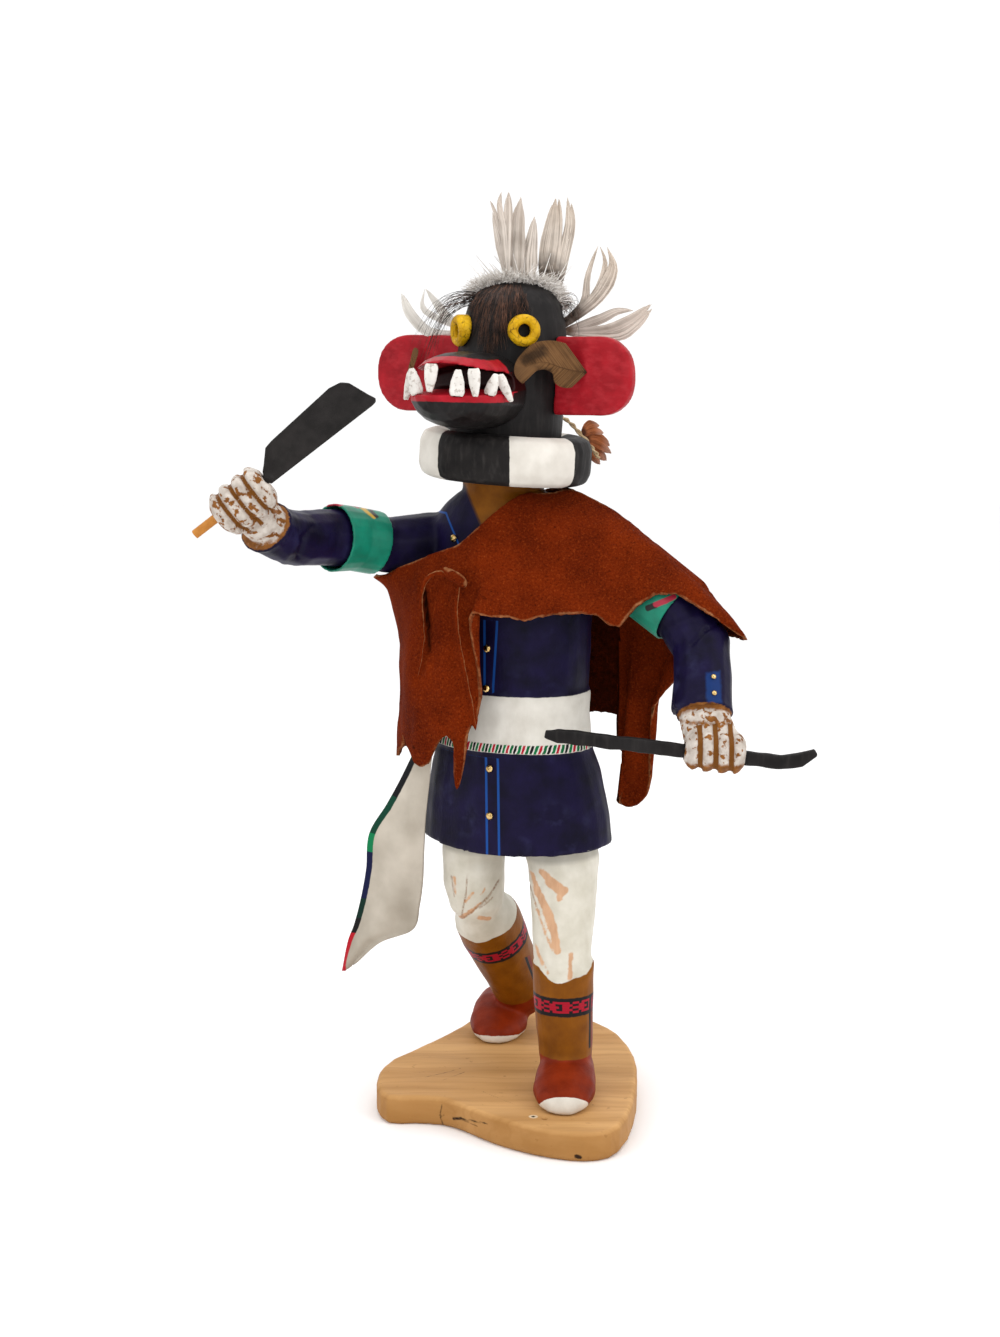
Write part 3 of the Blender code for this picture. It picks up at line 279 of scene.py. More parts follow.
waves = {"Vector": longWays, "Scale": 1 / plank["grainWidth"] / 9, "Distortion": 12.0, "Detail": 4.0,
         "Detail Scale": 1.6}
rings = addNode(tree, "TexWave", waves, bands_direction="Y")
lines = ranged(tree, rings.outputs[1], 0.6, 1.0, 0.0, 0.16)
body = over(tree, lines, body, tint(plank["vein"]))
specks = patches(tree, where, 1 / 0.0035, 0.66, 0.78)
body = over(tree, times(tree, specks, 0.5), body, tint(plank["speck"]))
body = over(tree, times(tree, edgeOf(tree, where, "side", 0.6, 1.2), 0.5), body, tint(plank["side"]))
body = over(tree, times(tree, edgeOf(tree, where, "hole", 0.25, 0.2), 0.7), body, tint(plank["rim"]))
body = over(tree, edgeOf(tree, where, "mark", 0.3, 0.25), body, tint(plank["mark"]))
setColour(tree, shader, body)
bumpFrom(tree, shader, grainOf(tree, longWays, 1 / 0.0012, 4), 0.0002, 0.5)
base = evenCopy("plankBase", "base", 0.0009, 1, [cottonwood], "cottonwood")
carve(base, whittled(70, 0.0004))


def holeReach(point):
    return math.hypot(point.x / mm - plank["hole"][0], point.y / mm - plank["hole"][1])


def boardMark(point, normal):
    if normal.z > 0.7:
        scratched = strokeReach(point.x / mm, point.y / mm, boardScratches)
        return max(scratched, plank["holeReach"] - holeReach(point))
    return strokeReach(point.x / mm, point.z / mm, boardMarks) if normal.y < 0.2 else -20


paintMap(base, "mark", boardMark)
paintMap(base, "hole", lambda p, n: plank["holeRim"] - holeReach(p) if n.z > 0.5 else -20)
paintMap(base, "side", lambda p, n: (0.6 - n.z) * 4)
print("base made")

# Body and sleeves: acrylic paint brushed over whittled wood, worn through in places, with pale patches on the
# tunic that are partly scuffs and partly painted highlights
figure = {
    "hem": 119.5, "hemRise": 3.2, "sashLow": 165.8, "sashTop": 190.8,
    "tunic": ("#080519", "#140d31"), "scuffAndHighlight": "#3a3c60", "shirt": ("#6c3b03", "#875008"),
    "sash": ("#c3beb4", "#d6d2c9"), "trousers": ("#bdb7a7", "#d3cec1"), "bare": ("#b5835a", "#cf9f78"),
    "boots": ("#6a3a04", "#804a08"), "moccasins": ("#671b05", "#82290b"), "soles": ("#c6beb2", "#d9d2c6"),
    "line": "#174a94", "key": ("#9c1226", "#171517"), "shadow": "#8f8b80",
}
cuts = {  # the sleeves are parted under the armbands: a point and the way to the hand
    "arm_right": (Vector((-0.068, -0.013, 0.2576)), Vector((-0.7, -0.7, 0.1)).normalized()),
    "arm_left": (Vector((0.0635, -0.037, 0.2355)), Vector((0.72, -0.45, -0.53)).normalized()),
}
scrapes = (  # bare wood on the trousers: x, z, x, z, half width
    (14.6, 111.6, 18.6, 108.6, 1.5), (18, 108, 23.6, 104.6, 2.3), (22, 104.4, 22.2, 101, 1.2),
    (10.2, 109.6, 12.4, 103.6, 1.0), (12.4, 103.6, 16.4, 96, 1.7), (16.4, 96, 19.4, 88, 2.0),
    (19.4, 88, 21, 79, 1.7), (11.4, 98, 15, 88, 0.5), (14.6, 89, 19, 79, 0.6), (27.2, 77.6, 26.6, 67, 0.9),
    (12, 79, 14.6, 72, 0.6), (14.4, 74, 17, 69, 0.5), (-20, 92, -16, 97, 0.5), (-12.6, 96, -10.6, 99, 0.6),
    (-24.6, 104, -24, 96, 0.5), (-22, 83, -16.5, 88.5, 1.0), (-16.5, 88.5, -12.6, 92, 0.6),
    (-13.4, 84, -9, 83, 1.2),
)
creases = (  # knife cuts in the trousers' folds: x, z, x, z, half width
    (-18.6, 106, -19.4, 96, 0.28), (-19.4, 96, -21.6, 84, 0.3), (-4.6, 101.4, -9, 95, 0.4),
    (-9, 95, -14.6, 89.6, 0.45), (-14.6, 89.6, -21.8, 82, 0.35), (-7.2, 94, -13, 89.4, 0.3),
    (-26, 104, -24.6, 94, 0.25), (9.2, 104, 12.2, 96, 0.3),
)


def armPart(node, hand):  # the arm on one side of its cut, closed again
    at, way = cuts[node]
    shape = bmesh.new()
    shape.from_mesh(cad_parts[node].data)
    bmesh.ops.remove_doubles(shape, verts=shape.verts, dist=0.000001)
    everything = shape.verts[:] + shape.edges[:] + shape.faces[:]
    bmesh.ops.bisect_plane(shape, geom=everything, plane_co=at, plane_no=way,
                           clear_outer=not hand, clear_inner=hand)
    bmesh.ops.holes_fill(shape, edges=[e for e in shape.edges if e.is_boundary], sides=0)
    return shape


legs = {  # in mm: the left boot stands upright, and the right one leans along its axis
    "left": (24, -28.5), "leftShin": (24, -27), "leftRound": 13.3, "rightRound": 15.0,
    "start": Vector((-7.3, 25, 70.3)), "along": Vector((0.278, 0.553, -0.785)), "reach": 60,
    "band": 49.6, "rightBand": 6.6, "rim": 71.3, "rimWave": 0.8, "rimDip": 6, "rightRim": 11.2,
}


def legOf(point):  # True on the left leg; then along the right boot's axis and out from it, in mm
    away = point / mm - legs["start"]
    share = away.dot(legs["along"])
    reach = max(-legs["reach"], min(legs["reach"], share))
    shinX, shinY = legs["leftShin"]
    left = math.hypot(point.x / mm - shinX, point.y / mm - shinY) < (away - legs["along"] * reach).length
    return left, share, away - legs["along"] * share


def roundMap(point, normal):  # distance round the boot or the waist from the middle of its front, in mm
    x, y, z = point / mm
    if z > 118:
        return math.atan2(x - 2, -(y + 5)) * 36.5
    left, share, out = legOf(point)
    if left:
        return math.atan2(x - legs["left"][0], legs["left"][1] - y) * legs["leftRound"]
    return math.atan2(out.x, -out.y * 0.83 - out.z * 0.51) * legs["rightRound"]


def levelMap(point, normal):  # how far up each boot's painted band a point lies, in mm
    left, share, out = legOf(point)
    return point.z / mm - legs["band"] if left else legs["rightBand"] - share


def hemAt(point):
    across = (point.x / mm - 3.7) * 0.8988 - (point.y / mm + 5) * 0.4384
    return figure["hem"] + figure["hemRise"] * (across / 44.6) ** 2


def legsMap(point, normal):
    below = hemAt(point) + 0.6 - point.z / mm
    return -1.0 if normal.z < -0.5 and abs(below) < 3.0 else below


def sashMap(point, normal):
    x, y, z = point / mm
    if math.hypot(x - 2, y + 5) > 42 or x > 39:
        return -10
    return min(z - figure["sashLow"], figure["sashTop"] - z)


def shirtMap(point, normal):
    x, y, z = point / mm
    return max(z - 281, min((x + 19) * 0.912 + (z - 279.9) * 0.41, z - 245, 10 - y))


def bootsMap(point, normal):
    left, share, out = legOf(point)
    x, y, z = point / mm
    if left:
        turn = math.atan2(legs["left"][1] - y, x - legs["left"][0])
        rim = legs["rim"] + legs["rimWave"] * math.cos(5 * turn)
        return rim - legs["rimDip"] * max(0.0, math.sin(turn)) ** 2 + 0.2 - z
    return min(share + legs["rightRim"] + 0.6 * math.cos(5 * math.atan2(-out.y, out.x)), 96 - z)


def shoesMap(point, normal):
    left, share, out = legOf(point)
    z = point.z / mm
    return 30.0 - z if left else max(share - 42.5, 26 - z)


def solesMap(point, normal):
    left, share, out = legOf(point)
    x, y, z = point / mm
    if left:
        return 15.6 - z + max(0.0, -58 - y) * 1.1
    return 16.2 - z + max(0.0, 34 - y) * 0.2


def bareMap(point, normal):
    return strokeReach(point.x / mm, point.z / mm, scrapes) if point.y < 0.012 and normal.y < 0.3 else -20


def creaseMap(point, normal):
    return strokeReach(point.x / mm, point.z / mm, creases) if point.y < 0.012 and normal.y < 0.4 else -20


def lineAt(z, places):
    for (high, a), (low, b) in zip(places, places[1:]):
        if z >= low:
            return a + (b - a) * (high - min(z, high)) / (high - low)
    return places[-1][1]


def placket(places):  # signed distance from one blue line of the tunic's front, in mm
    def value(point, normal):
        x, y, z = point / mm
        shown = y < -8 and 118 < z < 224 and not 164 < z < 192
        return x - lineAt(z, places) if shown else 40.0
    return value


def cuffMap(point, normal):  # inside the painted cuff placket of the left sleeve, in mm
    x, y, z = point / mm
    inside = min(x - 81.0 - (z - 197) * 0.02, 87.4 - x, z - 196.4, 208.4 - z)
    return inside if normal.y < -0.2 and x > 70 else -10


woodPaint, tree, shader, where = newMaterial("brushedAcrylicOnWood", 0.46, **{"Specular IOR Level": 0.1})
colour = mottle(tree, where, *figure["tunic"], 90)
# pale blue patches on the tunic: partly scuffs in the paint, partly painted highlights
rubsAndHighlights = patches(tree, where, 150, 0.5, 0.85, 9)
blotches = patches(tree, where, 40, 0.46, 0.7, 2)
colour = over(tree, times(tree, times(tree, rubsAndHighlights, blotches), 0.6), colour, tint(figure["scuffAndHighlight"]))
for attribute in ("lineLeft", "lineRight"):
    line = around(tree, named(tree, attribute), 0.0, 0.5)
    colour = over(tree, times(tree, line, 0.85), colour, tint(figure["line"]))
shirt = named(tree, "shirt")
colour = over(tree, times(tree, around(tree, shirt, -12.6, 0.4), 0.8), colour, tint(figure["line"]))
cuffPaint = times(tree, edgeOf(tree, where, "cuff", 0.7, 0.6), 0.36)
colour = over(tree, cuffPaint, colour, tint(figure["line"]))
colour = over(tree, edgeOf(tree, where, "shirt"), colour, mottle(tree, where, *figure["shirt"], 150))
colour = over(tree, times(tree, around(tree, shirt, -0.1, 0.5, 0.3), 0.8), colour, tint("#4a2c18"))
sashWhite = mottle(tree, where, *figure["sash"], 120)
level = times(tree, addNode(tree, "SeparateXYZ", {0: where}).outputs[2], 1000.0)
turn = named(tree, "round")
sway = grainOf(tree, where, 500, 2)
lean = times(tree, times(tree, turn, times(tree, level, -0.4), "ADD"), times(tree, sway, 0.9), "ADD")
share = addNode(tree, "Math", {0: times(tree, lean, 1 / 8.6)}, operation="FRACT").outputs[0]
stitches = stepped(tree, share, ((0.0, "#0a5a31"), (0.17, "#cdc8bf"), (0.25, "#151417"), (0.41, "#cdc8bf"),
                                 (0.5, "#0a6638"), (0.67, "#cdc8bf"), (0.75, "#a01628"), (0.91, "#cdc8bf")))
tall = around(tree, times(tree, level, times(tree, sway, 0.8), "ADD"), 168.3, 1.9, 0.2)
sashWhite = over(tree, tall, sashWhite, stitches)
colour = over(tree, edgeOf(tree, where, "sash", 0.3), colour, sashWhite)
whites = mottle(tree, where, *figure["trousers"], 110)
bare = mottle(tree, stretched(tree, where, (1, 1, 0.2)), *figure["bare"], 400)
whites = over(tree, times(tree, edgeOf(tree, where, "bare", 0.9, 0.3), 0.85), whites, bare)
whites = over(tree, times(tree, edgeOf(tree, where, "crease", 0.25, 0.3), 0.8), whites, tint("#7c5230"))
# painted shadow of the tunic's hem: the trousers greyed for a few mm below it
under = ranged(tree, named(tree, "legs"), 6.4, 4.2, 0.0, 0.55)
whites = over(tree, under, whites, tint(figure["shadow"]))
colour = over(tree, edgeOf(tree, where, "legs", 0.3), colour, whites)
boots = mottle(tree, where, *figure["boots"], 130)
rise = named(tree, "level")
wave = times(tree, turn, times(tree, sway, 1.2), "ADD")
rows = ("RR.RR.RRR", "RRR..RR..", "RR.RRRRR.", "RRR..RR..", "RR.RR.RRR")
red, black = figure["key"]
share = addNode(tree, "Math", {0: times(tree, wave, 1 / 13.4)}, operation="FRACT").outputs[0]
keyed = tint(black)
for i, row in enumerate(rows):
    stops = [(k / len(row), red if mark == "R" else black) for k, mark in enumerate(row)]
    stops = [s for k, s in enumerate(stops) if k == 0 or s[1] != stops[k - 1][1]]
    inRow = around(tree, rise, 6.6 - i * 1.05, 0.525, 0.1)
    keyed = over(tree, inRow, keyed, stepped(tree, share, stops))
band = around(tree, times(tree, rise, times(tree, sway, 0.8), "ADD"), 4.8, 4.3, 0.2)
boots = over(tree, band, boots, keyed)
bar = times(tree, around(tree, turn, 14.2, 0.85), around(tree, level, 45.4, 12.0, 0.3))
boots = over(tree, bar, boots, tint(black))
strip = times(tree, around(tree, turn, 16.2, 0.9, 0.3), around(tree, level, 45.4, 12.0, 0.6))
boots = over(tree, times(tree, strip, 0.7), boots, tint("#6e1f2a"))
colour = over(tree, edgeOf(tree, where, "boots", 0.4), colour, boots)
for attribute, tones in (("shoes", "moccasins"), ("soles", "soles")):
    colour = over(tree, edgeOf(tree, where, attribute, 0.4), colour, mottle(tree, where, *figure[tones], 130))

# Hands: chalky white rubbed off the fingers down to brown wood, with dark knife cuts between them
hands = {"white": ("#a3978c", "#cbc3ba"), "wood": ("#633a16", "#8d5a28"), "cut": "#6e4212"}
skin = mottle(tree, where, *hands["white"], 300)
rubbed = patches(tree, where, 330, 0.53, 0.585, 9)
edgeWear = edgeOf(tree, where, "wear", 1.6, 0.7)
wood = mottle(tree, where, *hands["wood"], 300)
skin = over(tree, addNode(tree, "Math", {0: rubbed, 1: edgeWear}, operation="MAXIMUM").outputs[0], skin, wood)
skin = over(tree, edgeOf(tree, where, "groove", 0.15, 0.2), skin, tint(hands["cut"]))
colour = over(tree, edgeOf(tree, where, "hand", 0.3), colour, skin)
setColour(tree, shader, colour)
bumpFrom(tree, shader, grainOf(tree, stretched(tree, where, (1, 1, 0.3)), 900, 5), 0.00025, 0.5)

shape = bmesh.new()
shape.from_mesh(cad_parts["body"].data)
for node in cuts:
    part = armPart(node, False)
    spare = bpy.data.meshes.new("spare")
    part.to_mesh(spare)
    part.free()
    shape.from_mesh(spare)
    bpy.data.meshes.remove(spare)
figureBody = evenCopy("carvedBody", "body", 0.0011, 6, [woodPaint], "carved_paint", shape,
                      "arm_right", "arm_left")
carve(figureBody, whittled(110, 0.00035))
carve(figureBody, lambda p, n: -0.0004 * max(0.0, min(1.0, creaseMap(p, n) + 0.6)))
knifeAlong = Vector((0.794, 0, 0.607)).normalized()
knifeStart = Vector((-98.6, -72, 288.8)) * mm
sleeveFolds = (  # x, z, x, z, half width, lift: carved creases of the sleeves
    (76, 219, 82, 224.5, 0.9, -0.9), (82, 224.5, 88, 226.5, 0.8, -0.5), (70, 226, 80, 229.6, 1.6, 0.5),
    (-86, 262, -89, 254, 1.0, -0.9), (-83.5, 266, -87, 262, 0.9, -0.7), (-93, 256, -96, 250, 1.6, 0.6),
)


def rightHand(point, normal):
    wrist = Vector((-102, -56, 267)) * mm
    return (point - wrist).dot(Vector((-0.35, -0.75, 0.5)).normalized()) / mm if point.x < -0.08 else -20


def leftHand(point, normal):  # the cuff's mouth faces the viewer, so its front edge stands higher
    if point.x < 0.055 or point.y > -0.045:
        return -20
    return (Vector((80.6, -68, 188.2)) * mm - point).dot(Vector((0, 0.62, 0.78))) / mm


def rightGroove(point, normal):
    share = (point - knifeStart).dot(knifeAlong) / mm + 27.0
    finger = abs((share / 6.5) % 1 - 0.5) * 6.5
    return 0.9 - (3.25 - finger) if rightHand(point, normal) > 11 and 1.5 < share < 24 else -5


def leftGroove(point, normal):
    share = point.x / mm - 71.7
    finger = abs((share / 6.4) % 1 - 0.5) * 6.4
    return 1.1 - (3.2 - finger) if point.z < 0.1885 and point.y < -0.07 and 1.5 < share < 24 else -5


def wearMap(point, normal):  # the paint is rubbed off most by the wrist and the finger ends
    x, y, z = point / mm
    if x > 0:
        return max(1.6 - leftHand(point, normal), 172.5 - z, 0.4 - abs(z - 188.5))
    return 1.8 - rightHand(point, normal)


def sleeveMove(point, normal):
    x, y, z = point / mm
    rise = 0.0
    for x1, z1, x2, z2, wide, high in sleeveFolds:
        near = strokeReach(x, z, ((x1, z1, x2, z2, 0.0),))
        rise += high * math.exp(-(near / wide) ** 2)
    inside = leftHand(point, normal) if x > 0 else rightHand(point, normal)
    step = max(-1.0, min(1.0, inside / 0.5))
    return (rise - 0.35 * step + 0.5 * math.exp(-(inside / 2.2) ** 2) * (1 if inside < 0 else 0)) * mm


armRight, armLeft = (evenCopy(name, node, 0.0007, 4, [woodPaint], "carved_paint", armPart(node, True))
                     for name, node in (("armRight", "arm_right"), ("armLeft", "arm_left")))
for arm, groove in ((armRight, rightGroove), (armLeft, leftGroove)):
    carve(arm, whittled(110, 0.00035))
    carve(arm, lambda p, n: -0.0008 * max(0.0, min(1.0, groove(p, n) + 0.4)))
    carve(arm, sleeveMove)
    paintMap(arm, "groove", groove)
    paintMap(arm, "wear", wearMap)
paintMap(armRight, "hand", rightHand)
paintMap(armLeft, "hand", leftHand)
for name in ("groove", "wear", "hand"):
    paintMap(figureBody, name, lambda p, n: -20.0)
bodyMaps = (
    ("legs", legsMap), ("sash", sashMap), ("shirt", shirtMap), ("boots", bootsMap), ("shoes", shoesMap),
    ("soles", solesMap), ("bare", bareMap), ("crease", creaseMap), ("round", roundMap), ("level", levelMap),
    ("lineLeft", placket(((222, -10.7), (194, -10.7), (161, -10.1), (123, -9.7)))),
    ("lineRight", placket(((222, -5.3), (194, -7.0), (161, -4.9), (121, -4.4)))),
)
for name, value in bodyMaps:
    paintMap(figureBody, name, value)
    for arm in (armRight, armLeft):
        paintMap(arm, name, lambda p, n: 40.0 if name.startswith("line") else -40.0)
paintMap(armLeft, "cuff", cuffMap)
for piece in (figureBody, armRight):
    paintMap(piece, "cuff", lambda p, n: -20.0)
print("body and arms made")

# Mask and snout: flat black paint with the tool marks showing through
maskLook = {"black": ("#0f0d0d", "#1d1a1a"), "red": ("#8e0a18", "#a81525"), "mouth": "#240505",
            "scratch": "#3b3735"}
blackPaint, tree, shader, where = newMaterial("flatBlackPaint", 0.5)
scratch = patches(tree, stretched(tree, where, (1, 1, 0.15)), 500, 0.5, 0.85)
black = mottle(tree, where, *maskLook["black"], 120)
setColour(tree, shader, over(tree, times(tree, scratch, 0.4), black, tint(maskLook["scratch"])))
bumpFrom(tree, shader, scratch, 0.0002, 0.4)
head = evenCopy("mask", "head", 0.0011, 6, [blackPaint], "black_paint")
carve(head, whittled(90, 0.0004, 8.0))


def faceFrame(point):  # forward, across and level on the mask, in mm
    x, y, z = point.x / mm + 0.4, point.y / mm + 7.6, point.z / mm - 0.3
    return -x * 0.4848 - y * 0.8746, x * 0.8746 - y * 0.4848, z


def jawEdges(across):  # levels of the mouth's upper and lower edge, in mm
    return 333.6 - 0.0095 * across * across, 322.6 - 0.002 * across * across


def lipMap(point, normal):
    f, a, z = faceFrame(point)
    top, low = jawEdges(a)
    outside = max(z - top, low - z)
    return min(3.6 - outside, f - 33) if outside > -0.4 else 4.0


def throatMap(point, normal):
    f, a, z = faceFrame(point)
    top, low = jawEdges(a)
    return min(z - low - 0.5, top - z - 0.3)


lipPaint, tree, shader, where = newMaterial("blackAndRedPaint", 0.38)
scratch = patches(tree, stretched(tree, where, (1, 1, 0.3)), 500, 0.5, 0.85)
black = mottle(tree, where, *maskLook["black"], 120)
colour = over(tree, times(tree, scratch, 0.3), black, tint(maskLook["scratch"]))
colour = over(tree, edgeOf(tree, where, "lip", 0.3), colour, mottle(tree, where, *maskLook["red"], 180))
colour = over(tree, edgeOf(tree, where, "throat", 0.3), colour, tint(maskLook["mouth"]))
setColour(tree, shader, colour)
bumpFrom(tree, shader, scratch, 0.0002, 0.4)
snout = evenCopy("snoutAndJaws", "snout", 0.0006, 4, [lipPaint], "black_paint")
paintMap(snout, "lip", lipMap)
paintMap(snout, "throat", throatMap)
print("mask made")

bonePaint, tree, shader, where = newMaterial("chippedWhitePaint", 0.5)
chips = patches(tree, where, 600, 0.56, 0.64)
white = mottle(tree, where, "#cfcac3", "#e4e0da", 250)
setColour(tree, shader, over(tree, times(tree, chips, 0.5), white, tint("#8a7868")))
bumpFrom(tree, shader, chips, 0.0002, 0.5)
for i, node in enumerate(n for n in sorted(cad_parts) if n.startswith("tooth_")):
    tooth = evenCopy("tooth" + str(i + 1), node, 0.0004, 1, [bonePaint], "white_paint")
    carve(tooth, lambda p, n: 0.0006 * abs(n.x))

eyePaint, tree, shader, where = newMaterial("crackedYellowPaint", 0.4)
cracks = addNode(tree, "TexVoronoi", {"Vector": where, "Scale": 420}, feature="DISTANCE_TO_EDGE")
crack = ranged(tree, cracks.outputs[0], 0.0, 0.09, 1.0, 0.0)
some = patches(tree, where, 260, 0.48, 0.6)
yellow = mottle(tree, where, "#b98a08", "#d9ab14", 200)
setColour(tree, shader, over(tree, times(tree, crack, some), yellow, tint("#4a3306")))
bumpFrom(tree, shader, crack, -0.0003, 0.6)
for name, node in (("eyeRingNear", "eye_near"), ("eyeRingFar", "eye_far")):
    evenCopy(name, node, 0.0004, 3, [eyePaint], "yellow_paint")

earPaint, tree, shader, where = newMaterial("brushedRedPaint", 0.42)
strokes = patches(tree, stretched(tree, where, (0.5, 0.5, 1)), 380, 0.45, 0.8)
red = mottle(tree, where, "#870d18", "#a31622", 150)
setColour(tree, shader, over(tree, times(tree, strokes, 0.5), red, tint("#b9333b")))
bumpFrom(tree, shader, strokes, 0.0002, 0.5)
for name, node in (("earBoardNear", "ear_near"), ("earBoardFar", "ear_far")):
    ear = evenCopy(name, node, 0.0008, 3, [earPaint], "red_paint")
    carve(ear, whittled(100, 0.0003))
print("face dressed")

# Ruff: a padded roll in black and white segments, drawn where the paint changes round the neck
ruffLook = {"centre": (-1.6, -7.0), "turns": (-50.5, 2.5, 52, 118, 184, 247), "white": ("#c6c0b6", "#dcd7ce"),
            "black": ("#121010", "#201d1c"), "corner": 1.5}
ruffLevels = [v.co.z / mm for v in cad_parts["ruff"].data.vertices]
ruffMiddle, ruffHalf = (max(ruffLevels) + min(ruffLevels)) / 2, (max(ruffLevels) - min(ruffLevels)) / 2


def ruffMap(point, normal):
    x, y = point.x / mm - ruffLook["centre"][0], point.y / mm - ruffLook["centre"][1]
    turn = math.degrees(math.atan2(x, -y))
    reach = math.hypot(x, y)
    turn = turn if turn >= -113 else turn + 360
    edges = [-113, *ruffLook["turns"]]
    for i, (first, last) in enumerate(zip(edges, edges[1:])):
        if first <= turn < last:
            inside = min(turn - first, last - turn) * math.pi / 180 * reach
            away = abs(point.z / mm - ruffMiddle) / ruffHalf
            rounding = ruffLook["corner"] * max(0.0, (away - 0.7) / 0.3) ** 2
            return inside - rounding if i % 2 == 0 else -inside - rounding
    return 0.0


ruffPaint, tree, shader, where = newMaterial("paintedPaddedCloth", 0.62)
black = mottle(tree, where, *ruffLook["black"], 150)
streak = patches(tree, stretched(tree, where, (1, 1, 0.3)), 500, 0.5, 0.8)
black = over(tree, times(tree, streak, 0.3), black, tint("#4a4644"))
white = mottle(tree, where, *ruffLook["white"], 90)
setColour(tree, shader, over(tree, edgeOf(tree, where, "white", 0.3), black, white))
bumpFrom(tree, shader, streak, 0.0002, 0.4)
ruff = evenCopy("neckRuff", "ruff", 0.0009, 5, [ruffPaint], "white_paint")
paintMap(ruff, "white", ruffMap)
print("ruff made")

# Armbands, knife, bow stick
bandMarks = {  # painted marks by the bands' edges: x, z, x, z, half width
    "red": ((-80.0, 272.5, -71.0, 273.8, 0.8), (-71.0, 273.8, -65.4, 272.1, 0.8),
            (61.4, 233.9, 68.9, 237.3, 1.1)),
    "gold": ((-64.5, 271.7, -58.5, 267.3, 0.5),),
    "black": ((58.4, 232.2, 60.9, 233.4, 1.3), (-61.9, 271.2, -57.2, 267.3, 0.45)),
}
bandPaint, tree, shader, where = newMaterial("paintedLeather", 0.45, **{"Specular IOR Level": 0.3})
colour = mottle(tree, where, "#03654f", "#068066", 120)
for attribute, code in (("gold", "#b8922c"), ("black", "#141213"), ("red", "#a32038")):
    colour = over(tree, edgeOf(tree, where, attribute, 0.4, 0.2), colour, tint(code))
setColour(tree, shader, colour)
bumpFrom(tree, shader, grainOf(tree, where, 1500, 3), 0.0001, 0.4)
for name, node in (("armbandRight", "armband_right"), ("armbandLeft", "armband_left")):
    band = evenCopy(name, node, 0.00055, 3, [bandPaint], "turquoise_leather")
    for attribute, strokes in bandMarks.items():
        paintMap(band, attribute, lambda p, n: strokeReach(p.x / mm, p.z / mm, strokes) if n.y < 0.3 else -20)

# Brass pin heads, mottled dull and bright
brass, tree, shader, where = newMaterial("agedBrass", 0.22, **{"Metallic": 1.0})
setColour(tree, shader, mottle(tree, where, "#a8823e", "#eacb90", 900))
for node in sorted(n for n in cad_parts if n.startswith(("button_", "cuff_pin_"))):
    evenCopy("brass" + node[-1] + node.split("_")[0], node, 0.00022, 2, [brass], "brass")

knifePaint, tree, shader, where = newMaterial("blackPaintedKnife", 0.5)
grip = addNode(tree, "SeparateXYZ", {0: where}).outputs[0]
black = mottle(tree, where, "#181615", "#262322", 200)
ochre = mottle(tree, where, "#a8692a", "#c0823c", 200)
setColour(tree, shader, over(tree, ranged(tree, grip, -0.1126, -0.1130), black, ochre))
bumpFrom(tree, shader, grainOf(tree, where, 900, 5), 0.0002, 0.4)
evenCopy("paintedKnife", "knife", 0.0005, 3, [knifePaint], "black_paint")
stick = evenCopy("bowStick", "bow_stick", 0.0006, 3, [blackPaint], "black_paint")
carve(stick, whittled(160, 0.0005, 2.0))
print("tools made")
